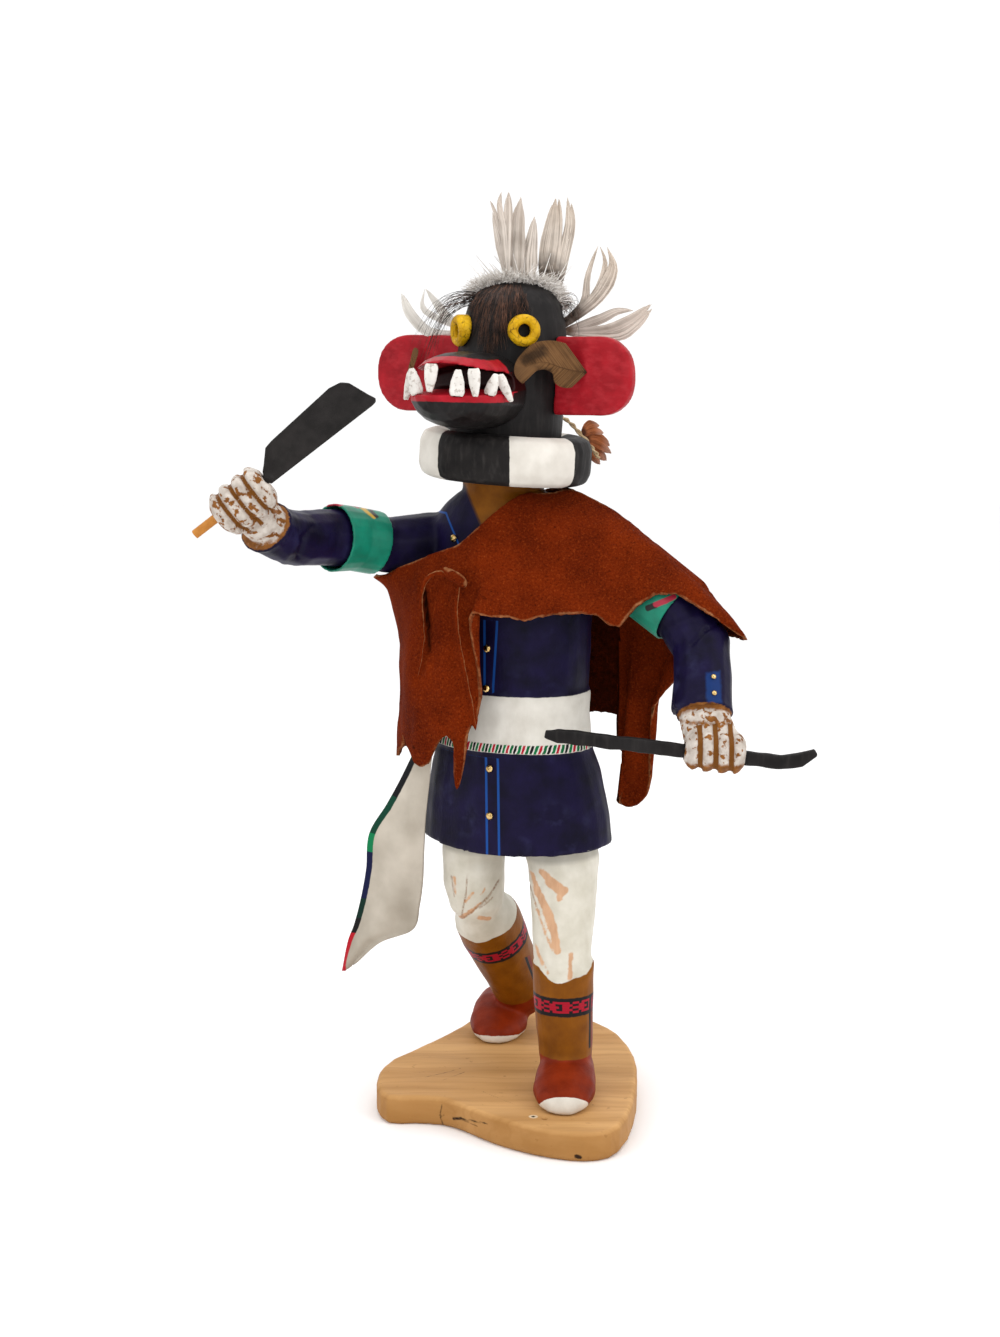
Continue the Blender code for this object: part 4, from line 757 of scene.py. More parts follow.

# Suede: split hide dyed rust, so a matt nap with a fine crumb and pale torn edges, with painted shade inside
# the back and in the front panel's slit, and painted highlights on the straps' upper sides
cape = {
    "columns": (  # top and two between, from under the right arm over the chest and left arm to the back
        ((-59, -4, 240), (-52, -4, 231), (-47, -5, 202)),
        ((-38.5, -20, 249), (-42, -25, 232), (-43, -30, 200)),
        ((-30, -26, 253), (-31, -32, 235), (-31, -38, 202)),
        ((-23, -30, 256), (-22.5, -36, 238), (-22, -41, 202)),
        ((-18, -32, 259.5), (-17.5, -38, 240), (-15, -41, 205)),
        ((-13.5, -33, 264), (-12.5, -38, 250), (-12, -41, 239)),
        ((-4, -29, 272), (-3, -36, 255), (-1, -42, 240)), ((5, -24, 277), (8, -34, 258), (11, -41, 240)),
        ((18, -20, 278), (25, -34, 260), (30, -43, 241)), ((28, -14, 278), (38, -33, 262), (45, -45, 243)),
        ((46, -22, 268.8), (54, -38, 259), (60, -49, 246)),
        ((64, -34, 254.8), (69, -44, 250.5), (72, -52, 245)),
        ((81, -45, 240), (84, -52, 237), (86, -59, 233)),
        ((93, -54, 227.5), (96, -56, 224), (98, -57, 221.5)),
        ((81, -45, 240), (88, -39, 232), (92, -35, 225)), ((64, -34, 254.8), (75, -21, 242), (83, -9, 220)),
        ((46, -22, 268.8), (64, -8, 250), (74, 9, 219)), ((28, -14, 278), (56, -3, 254), (66, 15, 219)),
        ((28, -13, 278), (44, 4, 259), (57, 19, 220)), ((24, -4, 278.4), (36, 10, 262), (48, 24, 224)),
        ((20, 3, 278), (31, 14, 263), (42, 26, 225)), ((14, 9, 276.3), (23, 18, 263), (31, 28, 225)),
        ((4, 12, 275), (10, 21, 261), (16, 30, 225)), ((-12, 18, 267), (-10, 24, 254), (-6, 31, 222)),
        ((-28, 22, 255), (-27, 26, 243), (-26, 29, 215)), ((-42, 17, 244), (-42, 19, 234), (-42, 20, 210)),
        ((-54, 5, 240), (-50, 6, 231), (-48, 7, 208)),
    ),
    "hem": (  # column, x, y, z: the torn lower edge
        (0, -47.5, -8, 164), (0.35, -46, -17, 171.7), (0.7, -43.2, -25, 166), (1, -40.5, -30, 160.3),
        (1.25, -37.8, -33, 159.8), (1.5, -35, -35, 161.1), (1.75, -31.8, -37, 169.1), (2, -29.6, -38.5, 173),
        (2.25, -27, -39.5, 175.2), (2.55, -24.2, -40.5, 173), (2.75, -22.8, -41, 166.4),
        (2.9, -23.4, -41, 155), (3, -22.6, -41.5, 151), (3.15, -20.8, -41.5, 155), (3.35, -18.9, -41.8, 165),
        (3.55, -18.4, -42, 173.9), (3.8, -16, -42, 181), (3.95, -14, -42.2, 177.2), (4.1, -13.4, -42.5, 185),
        (4.3, -12.2, -43, 191.8), (4.5, -13.2, -43, 203), (4.7, -16.2, -43, 216.6), (4.85, -17.2, -43, 226),
        (5, -15.5, -43.5, 229), (5.5, -9, -44.5, 227.1), (6, -1, -46, 227.4), (6.5, 6.2, -46.6, 225.6),
        (7, 13, -47, 227.7), (7.5, 22, -48, 229), (8, 31, -49, 229.4), (8.4, 37, -49.3, 228.6),
        (8.7, 42, -49.6, 224.6), (8.9, 46.3, -50, 223.4), (9.1, 49.5, -50.5, 228), (9.5, 53, -52.5, 233),
        (10, 61, -54, 238), (11, 70, -58, 239), (12, 83, -61, 231), (13, 99.5, -58, 219.4),
        (14, 92, -33, 218), (14.6, 83, -10, 203), (15, 75, 8, 191), (15.4, 69.6, 12, 183.6),
        (15.8, 65.4, 15, 176.6), (16.1, 64.2, 16, 168), (16.4, 64.6, 17, 155), (16.7, 65, 17, 144),
        (17, 63.8, 18, 136), (17.3, 60.2, 19, 131), (17.6, 54.6, 19.5, 129.4), (17.9, 49.6, 20, 131.5),
        (18.1, 51, 20, 135), (18.3, 54.4, 20.5, 141), (18.5, 55.8, 21, 149), (18.7, 54.6, 22, 154),
        (18.85, 50.6, 23, 156), (18.95, 51, 24, 166), (19.1, 51, 24.5, 172), (19.4, 47, 26, 172.6),
        (20, 41, 28, 173), (20.5, 37, 29, 172.5), (21, 30, 30, 169), (21.6, 22, 31, 170), (22, 16, 32, 166),
        (22.5, 5, 32.5, 168), (23, -6, 33, 163), (23.5, -17, 32, 165), (24, -27, 31, 160),
        (24.5, -36, 27, 162), (25, -43, 21, 157), (25.6, -48, 13, 160), (26, -50, 8, 156),
        (26.5, -49.5, 1, 160), (27, -47.5, -8, 164),
    ),
    "foldFirst": 9, "foldMiddle": 13, "around": 440, "down": 60, "thickness": 0.0015, "clear": 0.0021,
    "reach": 0.012, "flat": (0.40, 0.125), "area": 0.0305, "edgeSteps": 3000,
}
ridges = (  # x, z, x, z, half width, lift: folds of the hanging front panel
    (-23.4, 238, -20.8, 212, 1.7, 1.5), (-20.8, 212, -16.4, 189, 1.7, 1.5),
    (-16.4, 189, -14.6, 180, 1.5, 1.2), (-36.6, 238, -35.0, 222, 1.3, -2.6),
    (-35.0, 222, -34.4, 212, 1.1, -2.0), (-34.4, 212, -39.5, 198, 1.2, -1.1),
    (-38.6, 240, -37.6, 222, 1.4, 1.0), (-30, 232, -28, 205, 3.5, 1.0), (-28, 205, -32, 178, 4.0, 0.9),
    (-41.4, 190, -43, 176, 1.4, -0.8), (-22.6, 244, -22.6, 242, 3.4, 1.8), (40, 262, 60, 246, 5, 0.7),
    (10, 262, 26, 236, 5, -0.5), (58, 252, 74, 243, 4, -0.5),
)


def through(points, t):  # Catmull-Rom curve through points at an even parameter
    last = len(points) - 1
    i = min(int(t), last - 1)
    t -= i
    a, b, c, d = points[max(i - 1, 0)], points[i], points[i + 1], points[min(i + 2, last)]
    return [0.5 * (2 * q + (r - p) * t + (2 * p - 5 * q + 4 * r - w) * t * t
                   + (3 * q - p - 3 * r + w) * t ** 3) for p, q, r, w in zip(a, b, c, d)]


def hemPoint(column):
    for low, high in zip(cape["hem"], cape["hem"][1:]):
        if column <= high[0]:
            share = (column - low[0]) / (high[0] - low[0])
            return [a + (b - a) * share for a, b in zip(low[1:], high[1:])]
    return list(cape["hem"][0][1:])


def capePoint(column, share):
    columns = cape["columns"]
    count = len(columns)
    turn = column % count
    middle = cape["foldMiddle"]
    reach = middle - cape["foldFirst"]
    ring = [columns[(int(turn) + k) % count] for k in (-1, 0, 1, 2)]
    rows = []
    for row in range(3):
        at = turn
        if row == 0 and middle < turn < middle + reach:  # the back's top lies along the front's
            at = 2 * middle - turn
        near = [columns[(int(at) + k) % count][row] for k in (-1, 0, 1, 2)]
        rows.append(through(near, 1 + at - int(at)))
    rows.append(hemPoint(turn))
    return Vector(through(rows, share * 3 * 0.99999))


def lift(point):
    return Vector((point.x, point.y, point.z + 0.3)) * mm


suede, tree, shader, where = newMaterial("rustSplitSuede", 0.95, **{"Specular IOR Level": 0.04})
nap = addNode(tree, "TexNoise", {"Vector": where, "Scale": 1 / 0.0009, "Detail": 5, "Roughness": 0.75})
colour = mottle(tree, where, "#571803", "#742505", 1 / 0.016)
crumb = ranged(tree, nap.outputs[0], 0.53, 0.72, 0.0, 0.7)
pits = ranged(tree, nap.outputs[0], 0.47, 0.32, 0.0, 0.8)
colour = over(tree, crumb, colour, tint("#9c4519"))
colour = over(tree, pits, colour, tint("#2e0a01"))
# pale torn edges of the suede, and on the straps also a painted highlight on their upper side
tornEdgeAndHighlight = edgeOf(tree, where, "edge", 0.5, 0.35)
colour = over(tree, times(tree, tornEdgeAndHighlight, 0.75), colour, mottle(tree, where, "#8a4a24", "#c08a5e", 1 / 0.0016))
# painted shade: near-black rust inside the back, in the front panel's slit and at one spot low on the panel
colour = over(tree, edgeOf(tree, where, "paintedShade", 0.3, 0.5), colour, tint("#220700"))
setColour(tree, shader, colour)
bumpFrom(tree, shader, nap.outputs[0], 0.0009, 1.0)

solids = [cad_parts[n] for n in ("body", "arm_right", "arm_left", "armband_right", "armband_left")]
corners, sides = [], []
for solid in solids:
    first = len(corners)
    corners += [v.co.copy() for v in solid.data.vertices]
    sides += [tuple(first + i for i in p.vertices) for p in solid.data.polygons]
underCape = BVHTree.FromPolygons(corners, sides)

shape = bmesh.new()
around, down = cape["around"], cape["down"]
bmesh.ops.create_grid(shape, x_segments=around, y_segments=down, size=0.5)
shape.verts.ensure_lookup_table()
columnsTotal = len(cape["columns"])
for vertex in shape.verts:
    turn, share = (vertex.co.x + 0.5) * columnsTotal, 0.5 - vertex.co.y
    place = lift(capePoint(turn, share))
    ragged = noise.noise(Vector((turn * 9, 3.0, 0))) * 0.9 + noise.noise(Vector((turn * 31, 7.0, 0))) * 0.45
    place.z += ragged * mm * max(0.0, share - 0.9) / 0.1
    place.z += 0.5 * ragged * mm * max(0.0, 0.06 - share) / 0.06
    vertex.co = place
bmesh.ops.remove_doubles(shape, verts=shape.verts, dist=0.00002)
bmesh.ops.recalc_face_normals(shape, faces=shape.faces)
shape.normal_update()
outward = sum(1 if v.normal.dot(Vector((v.co.x - 0.01, v.co.y, 0))) > 0 else -1 for v in shape.verts)
if outward < 0:
    bmesh.ops.reverse_faces(shape, faces=shape.faces)
    shape.normal_update()
for vertex in shape.verts:
    x, y, z = vertex.co.x / mm, vertex.co.y / mm, vertex.co.z / mm
    rise = 0.9 * noise.noise(vertex.co * 55) + 0.35 * noise.noise(vertex.co * 190)
    if vertex.co.y < -0.012:
        for x1, z1, x2, z2, wide, high in ridges:
            near = strokeReach(x, z, ((x1, z1, x2, z2, 0.0),))
            rise += high * math.exp(-(near / wide) ** 2)
    vertex.co += vertex.normal * rise * mm
for _ in range(3):
    for vertex in shape.verts:
        near, normal, index, distance = underCape.find_nearest(vertex.co)
        short = cape["clear"] - (vertex.co - near).dot(normal)
        if short > 0 and distance < cape["reach"]:
            vertex.co += normal * short
bmesh.ops.smooth_vert(shape, verts=shape.verts, factor=0.4, use_axis_x=True, use_axis_y=True, use_axis_z=True)
capePiece = newPiece("suedeCape", finishMesh(shape, "suedeCape"), [suede], "rust_suede", "cape")
thick = capePiece.modifiers.new("thickness", "SOLIDIFY")
thick.thickness = cape["thickness"]
thick.offset = 0
applyAll(capePiece)


def edgeMap(point, normal):  # near the torn hem, in mm
    return 0.75 - hemTree.find(point)[2] / mm


# where painted shade darkens the suede: the inside of the back, the slit of the front panel and a spot low on
# it, in mm
def paintedShadeMap(point, normal):
    if point.y > 0.014 and normal.y < 0 and 0 < point.x < 0.051:
        return 0.35
    if point.y > -0.012 or normal.y > -0.2:
        return -5
    slot = ((-36.4, 236, -35.0, 222, 1.0), (-35.0, 222, -34.6, 213, 0.6))
    reach = strokeReach(point.x / mm, point.z / mm, slot)
    return max(reach, 0.7 - math.hypot(point.x / mm + 41.6, point.z / mm - 168.4))


hemTree = KDTree(cape["edgeSteps"] * 2)
for i in range(cape["edgeSteps"]):
    turn = columnsTotal * i / cape["edgeSteps"]
    for k, share in enumerate((0.0, 1.0)):
        hemTree.insert(lift(capePoint(turn, share)), i * 2 + k)
hemTree.balance()
paintMap(capePiece, "edge", edgeMap)
paintMap(capePiece, "paintedShade", paintedShadeMap)


def strip(name, points, wide):  # a rolled or knotted strap of suede along a curve
    curve = bpy.data.curves.new(name, "CURVE")
    curve.dimensions = "3D"
    curve.bevel_depth = wide / 2
    curve.bevel_resolution = 2
    curve.use_fill_caps = True
    curve.resolution_u = 6
    line = curve.splines.new("NURBS")
    line.points.add(len(points) - 1)
    line.use_endpoint_u = True
    line.order_u = 3
    for point, (x, y, z, size) in zip(line.points, points):
        point.co = (*lift(Vector((x, y, z))), 1)
        point.radius = size
    holder = bpy.data.objects.new(name, curve)
    bpy.context.scene.collection.objects.link(holder)
    mesh = evaluated(holder)
    bpy.data.objects.remove(holder)
    mesh.shade_smooth()
    return newPiece(name, mesh, [suede], "rust_suede")


straps = (  # name, width, then x, y, z and share of the width
    ("capeTie", 0.0026, ((-24, -41.2, 243, 1.0), (-28, -41.6, 246.2, 0.9), (-33, -40, 245.2, 0.8),
                         (-36.6, -37.6, 241, 0.8), (-38.2, -36.4, 234, 0.7), (-37.4, -37.4, 224, 0.7),
                         (-36.6, -38.2, 214, 0.5), (-39.6, -36.6, 200, 0.2))),
    ("capeKnot", 0.0044, ((-27.4, -40.4, 246.8, 0.7), (-24.4, -43.4, 245.2, 1.1), (-20.4, -43.6, 242.6, 1.1),
                          (-19.4, -41.4, 240.4, 0.8), (-22.6, -40.6, 240.6, 0.8))),
    ("capeRoll", 0.0019, ((-21.4, -42.2, 242, 0.9), (-23.0, -42.6, 234, 0.9), (-22.4, -43.6, 222, 0.8),
                          (-20.6, -44, 211, 0.8), (-18.0, -44.2, 198, 0.8), (-16.0, -44, 188, 0.7),
                          (-14.6, -43.6, 179, 0.4))),
)
tie, knot, edgeRoll = (strip(name, points, wide) for name, wide, points in straps)
for piece in (tie, knot, edgeRoll):
    carve(piece, whittled(420, 0.0004))
    # the straps' right-facing side is paled as a torn edge, and their upper side as a painted highlight
    paintMap(piece, "edge", lambda p, n: 0.3 if n.x > 0.6 or n.z > 0.6 else -0.8)
    paintMap(piece, "paintedShade", lambda p, n: -5.0)
print("cape made")

# Sash end: stiff painted cloth, off-white with a hem bound in painted colours
sashEnd = {
    "rows": (  # left edge and right edge, top to bottom
        (-38, -7, 174, -32, -15, 175), (-41, -7, 163, -34, -15, 161), (-46.5, -6, 151, -35.6, -14, 147),
        (-54, -4, 137, -37.4, -13, 131), (-62.4, -2, 123, -38.2, -12, 119), (-64.4, 0, 106, -39.0, -10, 104),
        (-67.2, 2, 91, -40.4, -8, 91), (-70.6, 4, 79, -43.4, -6, 79), (-73.6, 5, 70, -57.5, -1, 72),
        (-76.2, 5, 56, -70.0, 4, 61)),
    "bands": (  # the bound edge's colours down the sash
        (0.0, "#141414"), (0.11, "#0e5a3a"), (0.155, "#141518"), (0.30, "#0c3c2c"), (0.44, "#0d7346"),
        (0.5, "#12163a"), (0.66, "#0d2a22"), (0.745, "#151416"), (0.835, "#a81423")),
    "hemWidth": 2.9, "thickness": 0.0016, "flat": (0.034, 0.128), "area": 0.0026,
}
cloth, tree, shader, where = newMaterial("paintedCottonCloth", 0.75)
colour = mottle(tree, where, "#857b6c", "#c2b9ab", 1 / 0.035)
bands = stepped(tree, named(tree, "drop"), sashEnd["bands"])
colour = over(tree, edgeOf(tree, where, "hem", 0.25), colour, bands)
setColour(tree, shader, colour)
bumpFrom(tree, shader, grainOf(tree, where, 1 / 0.0008, 3), 0.0002, 0.5)
shape = bmesh.new()
bmesh.ops.create_grid(shape, x_segments=40, y_segments=140, size=0.5)
across = {}
for vertex in shape.verts:
    side, share = vertex.co.x + 0.5, 0.5 - vertex.co.y
    row = through(sashEnd["rows"], share * 8.9999)
    left, right = Vector(row[:3]), Vector(row[3:])
    bulge = Vector((-0.5, -1, 0)).normalized() * (4 * side * (1 - side) * 1.2)
    folds = 0.9 * math.sin(side * 9 + share * 5) * min(1, share * 3)
    folds += 0.5 * noise.noise(Vector((side * 3, share * 8, 0)))
    width = (right - left).length
    place = left.lerp(right, side) + bulge + Vector((-0.4, -0.9, 0)) * folds * 0.8
    vertex.co = lift(place)
    across[vertex.index] = (side * width, share)
shape.verts.index_update()
mesh = finishMesh(shape, "sashEnd")
hemLine = mesh.attributes.new("hem", "FLOAT", "POINT")
drop = mesh.attributes.new("drop", "FLOAT", "POINT")
for i, (inside, share) in across.items():
    hemLine.data[i].value = sashEnd["hemWidth"] - inside
    drop.data[i].value = share
sashPiece = newPiece("sashEnd", mesh, [cloth], "painted_cloth", "sash_end")
thick = sashPiece.modifiers.new("thickness", "SOLIDIFY")
thick.thickness = sashEnd["thickness"]
thick.offset = 0
applyAll(sashPiece)
print("sash end made")

# Feathers: each is a few long blades whose fine strands run with the blade, as in a split hackle
feathers = {
    "strandWide": 0.42, "quill": 0.45, "slant": 0.85, "seed": 5,
    "spots": ((7, 336, 14, 339.5, 2.2), (11, 331.6, 17, 331, 0.8)),
    "blades": (  # piece, node, look, then each blade: its line through x, y, z and its half widths
        ("crownLeft", "feather_crown_left", 0, (
            (((-0.8, -5, 367.5), (-2.4, -3, 377), (-4.9, -3, 387.5), (-7.4, -3, 397.8)),
            (0.8, 1.6, 2.2, 1.3, 0.2)),
            (((-2.2, -4, 374), (-3.6, -3, 389), (-6.2, -3, 397.5), (-8.3, -3, 402.4)),
            (0.7, 1.0, 0.9, 0.7, 0.15)),
            (((-0.8, -5, 367.5), (-2.4, -4, 389), (-4.2, -3, 400), (-3.4, -3, 406)),
            (0.8, 1.3, 1.4, 1.0, 0.2)),
            (((-0.4, -5, 367.5), (-0.6, -4, 380), (-0.5, -3, 396), (-0.3, -3, 406.4)),
            (0.8, 1.4, 2.0, 1.9, 0.3)))),
        ("crownMiddle", "feather_crown_middle", 0, (
            (((3.6, -4, 367.8), (3.0, -2, 378), (3.4, -1, 391), (5.0, -1, 404)), (1.2, 3.2, 4.0, 3.0, 0.3)),
            (((8.4, -3, 367.8), (8.6, 0, 378), (10.0, 0, 388), (10.9, 0, 395.8)),
            (1.4, 4.0, 3.0, 1.8, 0.2)))),
        ("crownRight", "feather_crown_right", 1, (
            (((15.0, -1, 365.0), (16.4, 2, 378), (18.6, 3, 392), (20.2, 3, 403.6)),
            (1.0, 3.4, 4.0, 2.8, 0.3)),
            (((18.4, -1, 363.6), (20.4, 3, 380), (21.6, 4, 393), (21.6, 4, 403.8)),
            (0.8, 1.6, 1.8, 1.4, 0.25)),
            (((20.6, -1, 362.0), (23.6, 3, 378), (26.0, 4, 392), (25.2, 4, 404.3)),
            (0.9, 2.2, 2.5, 1.5, 0.3)),
            (((20.8, -1, 362.0), (24.8, 3, 380), (27.4, 4, 393), (26.9, 4, 401.8)),
            (0.8, 1.6, 1.8, 1.1, 0.3)))),
        ("sideUpper", "feather_side_upper", 1, (
            (((22.8, -1, 350.0), (32.2, 0, 358), (34.2, 0, 371), (38.6, 0, 383.6)),
            (1.0, 2.0, 1.6, 0.9, 0.2)),
            (((23.0, -1, 349.6), (37.0, 0, 362), (41.6, 0, 375), (39.2, 0, 383.2)),
            (1.2, 1.8, 1.5, 0.9, 0.2)),
            (((23.2, -1, 349.0), (38.2, -1, 361), (45.0, -1, 373.6), (42.4, -1, 382.6)),
            (1.4, 2.6, 3.0, 1.9, 0.3)))),
        ("sideLower", "feather_side_lower", 0, (
            (((24.0, 2, 346.6), (39.0, 0, 351.6), (47.0, 0, 355.2), (54.0, 0, 355.6)),
            (1.0, 2.2, 2.0, 1.2, 0.2)),
            (((24.0, 2, 346.2), (42.0, -1, 346.8), (53.6, -2, 351.6), (61.8, -2, 358.4)),
            (1.0, 2.4, 3.0, 2.4, 0.4)),
            (((24.6, 2, 345.8), (46.0, -2, 344.2), (55.6, -2, 349.4), (62.2, -2, 356.6)),
            (0.8, 1.8, 2.2, 1.8, 0.4)))),
        ("farUpper", "feather_far_upper", 2, (
            (((-20.0, 7, 347.4), (-29.0, 8, 351), (-37.8, 8, 356.6), (-36.9, 8, 365)),
            (0.7, 1.2, 1.5, 1.1, 0.2)),
            (((-19.4, 7, 348.6), (-26.6, 8, 352), (-32.4, 8, 359.4), (-36.6, 8, 365)),
            (0.8, 2.0, 2.0, 1.2, 0.2)))),
        ("farLower", "feather_far_lower", 2, (
            (((-22.6, 6, 345.8), (-35.2, 8, 346.2), (-43.6, 8, 354.4), (-47.3, 8, 363.2)),
            (0.8, 2.0, 2.4, 2.4, 0.5)),)),
        ("backFeather1", "feather_back_1", 3, (
            (((32.6, 17, 301.6), (36.4, 20, 305), (40.6, 22, 304.6)), (0.8, 2.2, 2.2, 1.4, 0.5)),
            (((32.8, 17, 300.8), (37.6, 20, 302.4), (42.6, 22, 301.2)), (0.8, 1.7, 1.8, 1.4, 0.5)))),
        ("backFeather2", "feather_back_2", 3, (
            (((33.4, 20, 298.6), (39.0, 23, 299.2), (45.6, 24, 295.4)), (0.8, 2.2, 2.6, 2.2, 0.8)),
            (((33.6, 20, 298.0), (39.4, 23, 296.6), (46.2, 24, 292.0)), (0.8, 1.8, 2.0, 1.8, 0.6)))),
        ("backFeather3", "feather_back_3", 3, (
            (((34.0, 23, 296.2), (38.6, 25, 293.6), (44.2, 25, 288.6)), (0.8, 1.8, 2.4, 2.0, 0.7)),
            (((34.0, 23, 295.6), (37.0, 25, 291.6), (41.2, 25, 286.8)), (0.7, 1.4, 1.8, 1.6, 0.5)))),
    ),
}


earFeathers = (  # piece, node, its place: y at x with its slope, then its quill and its outline as x, z
    ("earFeatherNear", "feather_ear_near", (-31.3, 31.0, 0.44), ((32.6, 329.8), (24, 331.3),
    (13.9, 334.4), (5.6, 332.0)), (
        (33.7, 329.5), (31.6, 335.6), (28.5, 339.5), (24, 341.8), (19.3, 343.1), (14.6, 343.2),
        (10.2, 342.2), (6, 339), (2.8, 334.9), (1.9, 330.4), (3.8, 326.8), (7.2, 325.1), (8.8, 327.4),
        (10.8, 330.4), (14.4, 331.2), (18, 329.6),
        (18.9, 326.0), (21.6, 323.9), (26, 323.6), (30.6, 326.0))),
    ("earFeatherFar", "feather_ear_far", (9.3, -44.2, -1.05), ((-44.2, 326), (-43.2, 330), (-41.8, 334),
    (-41.2, 336)), (
        (-44.6, 325), (-44.7, 329), (-43.6, 333.4), (-42.2, 338.4), (-40.8, 339.4), (-39.8, 337.6),
        (-41.2, 333), (-42.6, 328.9))),
)


def outlineStrands(quill, outline, count):  # barbs slanting from a quill to a drawn outline, as x, z pairs
    ring = [*outline, outline[0]]
    smooth = [through(ring, len(outline) * 0.9999 * k / 160) for k in range(160)]
    last = len(quill) - 1
    heading = math.atan2(quill[-1][1] - quill[0][1], quill[-1][0] - quill[0][0])
    slant = feathers["slant"]
    starts = [(through(quill, last * 0.9999 * i / count), heading + side)
              for i in range(count) for side in (-slant, slant)]
    starts += [(quill[-1], heading - slant + 2 * slant * i / 40) for i in range(41)]
    made = []
    for (x, z), turn in starts:
        wayX, wayZ = math.cos(turn), math.sin(turn)
        reach = 30.0
        for (ax, az), (bx, bz) in zip(smooth, smooth[1:] + smooth[:1]):
            ex, ez = bx - ax, bz - az
            cross = wayX * ez - wayZ * ex
            if abs(cross) > 1e-9:
                far = ((ax - x) * ez - (az - z) * ex) / cross
                share = ((ax - x) * wayZ - (az - z) * wayX) / cross
                if far > 0 and 0 <= share <= 1:
                    reach = min(reach, far)
        if reach < 30:
            made.append([(x + wayX * reach * k / 4, z + wayZ * reach * k / 4) for k in range(5)])
    return made


def bladeStrands(rng, path, widths):  # strands that run along a blade, spread across it
    path = [Vector(p) for p in path]
    tall = (path[-1] - path[0]).normalized()
    across = tall.cross(Vector((0, -1, 0))).normalized()
    count = max(5, int(2 * max(widths) / feathers["strandWide"] * 1.5))
    last = len(path) - 1
    made = []
    for i in range(count):
        side = -1 + 2 * (i + 0.5) / count
        end = 1 - 0.13 * side * side - rng.uniform(0, 0.05)
        line = []
        for k in range(11):
            share = k / 10 * end
            middle = Vector(through(path, share * last * 0.99999))
            at = min(0.9999, share) * (len(widths) - 1)
            low = int(at)
            wide = widths[low] + (widths[low + 1] - widths[low]) * (at - low)
            bow = -0.35 * (1 - side * side) * wide * 0.5
            point = middle + across * side * wide + Vector((0, bow + 0.12 * (i % 2), 0))
            line.append((*(lift(point)), 0.35 + 0.65 * min(1, (1 - k / 10) * 5) * min(1, wide / 1.2)))
        made.append(line)
    return made


def strandMesh(name, lines, radius):  # thin square tubes along polylines of x, y, z, share of the radius
    curve = bpy.data.curves.new(name, "CURVE")
    curve.dimensions = "3D"
    curve.bevel_depth = radius
    curve.bevel_resolution = 0
    curve.use_fill_caps = True
    for line in lines:
        spline = curve.splines.new("POLY")
        spline.points.add(len(line) - 1)
        for point, (x, y, z, size) in zip(spline.points, line):
            point.co = (x, y, z, 1)
            point.radius = size
    holder = bpy.data.objects.new(name, curve)
    bpy.context.scene.collection.objects.link(holder)
    mesh = evaluated(holder)
    bpy.data.objects.remove(holder)
    bpy.data.curves.remove(curve)
    mesh.name = name
    mesh.shade_smooth()
    each = len(mesh.vertices) // len(lines)
    tones = [random.Random(i * 7 + 1).random() for i in range(len(lines) + 1)]
    values = [tones[min(i // each, len(lines))] for i in range(len(mesh.vertices))]
    mesh.attributes.new("tone", "FLOAT", "POINT").data.foreach_set("value", values)
    return mesh


def vaneMaterial(name, light, dark, foot, footEnd, tipTone):  # feather keratin: satin, darker at the foot
    made, tree, shader, where = newMaterial(name, 0.6)
    along = named(tree, "along")
    blotch = times(tree, grainOf(tree, where, 1 / 0.009, 2), 1.4)
    spread = ranged(tree, times(tree, named(tree, "tone"), blotch, "ADD"), 0.35, 1.5)
    colour = over(tree, spread, tint(dark), tint(light))
    low = ranged(tree, along, footEnd, footEnd * 0.5)
    high = ranged(tree, along, 0.6, 1.05, 0.0, 0.6)
    colour = over(tree, high, colour, tint(tipTone))
    colour = over(tree, low, colour, mottle(tree, where, foot, dark, 1 / 0.003))
    colour = over(tree, times(tree, edgeOf(tree, where, "spot", 1.0, 1.0), 0.75), colour, tint("#1b110a"))
    setColour(tree, shader, colour)
    return made


paleVane = vaneMaterial("greyWhiteFeather", "#ded4ca", "#94877b", "#7a5c46", 0.14, "#cfc0b2")
brownFootVane = vaneMaterial("brownFootedFeather", "#ddd2c6", "#8f8276", "#1e120d", 0.42, "#cbb9a6")
whiteVane = vaneMaterial("whiteFeather", "#f0ece6", "#cfcac1", "#3a2a22", 0.12, "#ece8e0")
brownVane = vaneMaterial("brownFeather", "#7a5735", "#3a2613", "#3a2414", 0.05, "#5e4228")
russetVane = vaneMaterial("russetFeather", "#b06a40", "#572a14", "#2f160b", 0.3, "#d0b8aa")
quillHorn, tree, shader, where = newMaterial("featherQuill", 0.4)
setColour(tree, shader, mottle(tree, where, "#2e1d13", "#6b5340", 1 / 0.006))


def dressFeather(name, node, lines, quills, vane, slot):  # strands and quills, with each point's share along
    shape = bmesh.new()
    for strands, wide, index in ((lines, feathers["strandWide"], 0), (quills, feathers["quill"], 1)):
        mesh = strandMesh(name + str(index), strands, wide / 2 * mm)
        for part in mesh.polygons:
            part.material_index = index
        shape.from_mesh(mesh)
        bpy.data.meshes.remove(mesh)
    foot = Vector(quills[0][0][:3])
    far = max((v.co - foot).length for v in shape.verts)
    shares = [(v.co - foot).length / far for v in shape.verts]
    mesh = finishMesh(shape, name)
    mesh.attributes.new("along", "FLOAT", "POINT").data.foreach_set("value", shares)
    return newPiece(name, mesh, [vane, quillHorn], slot, node)


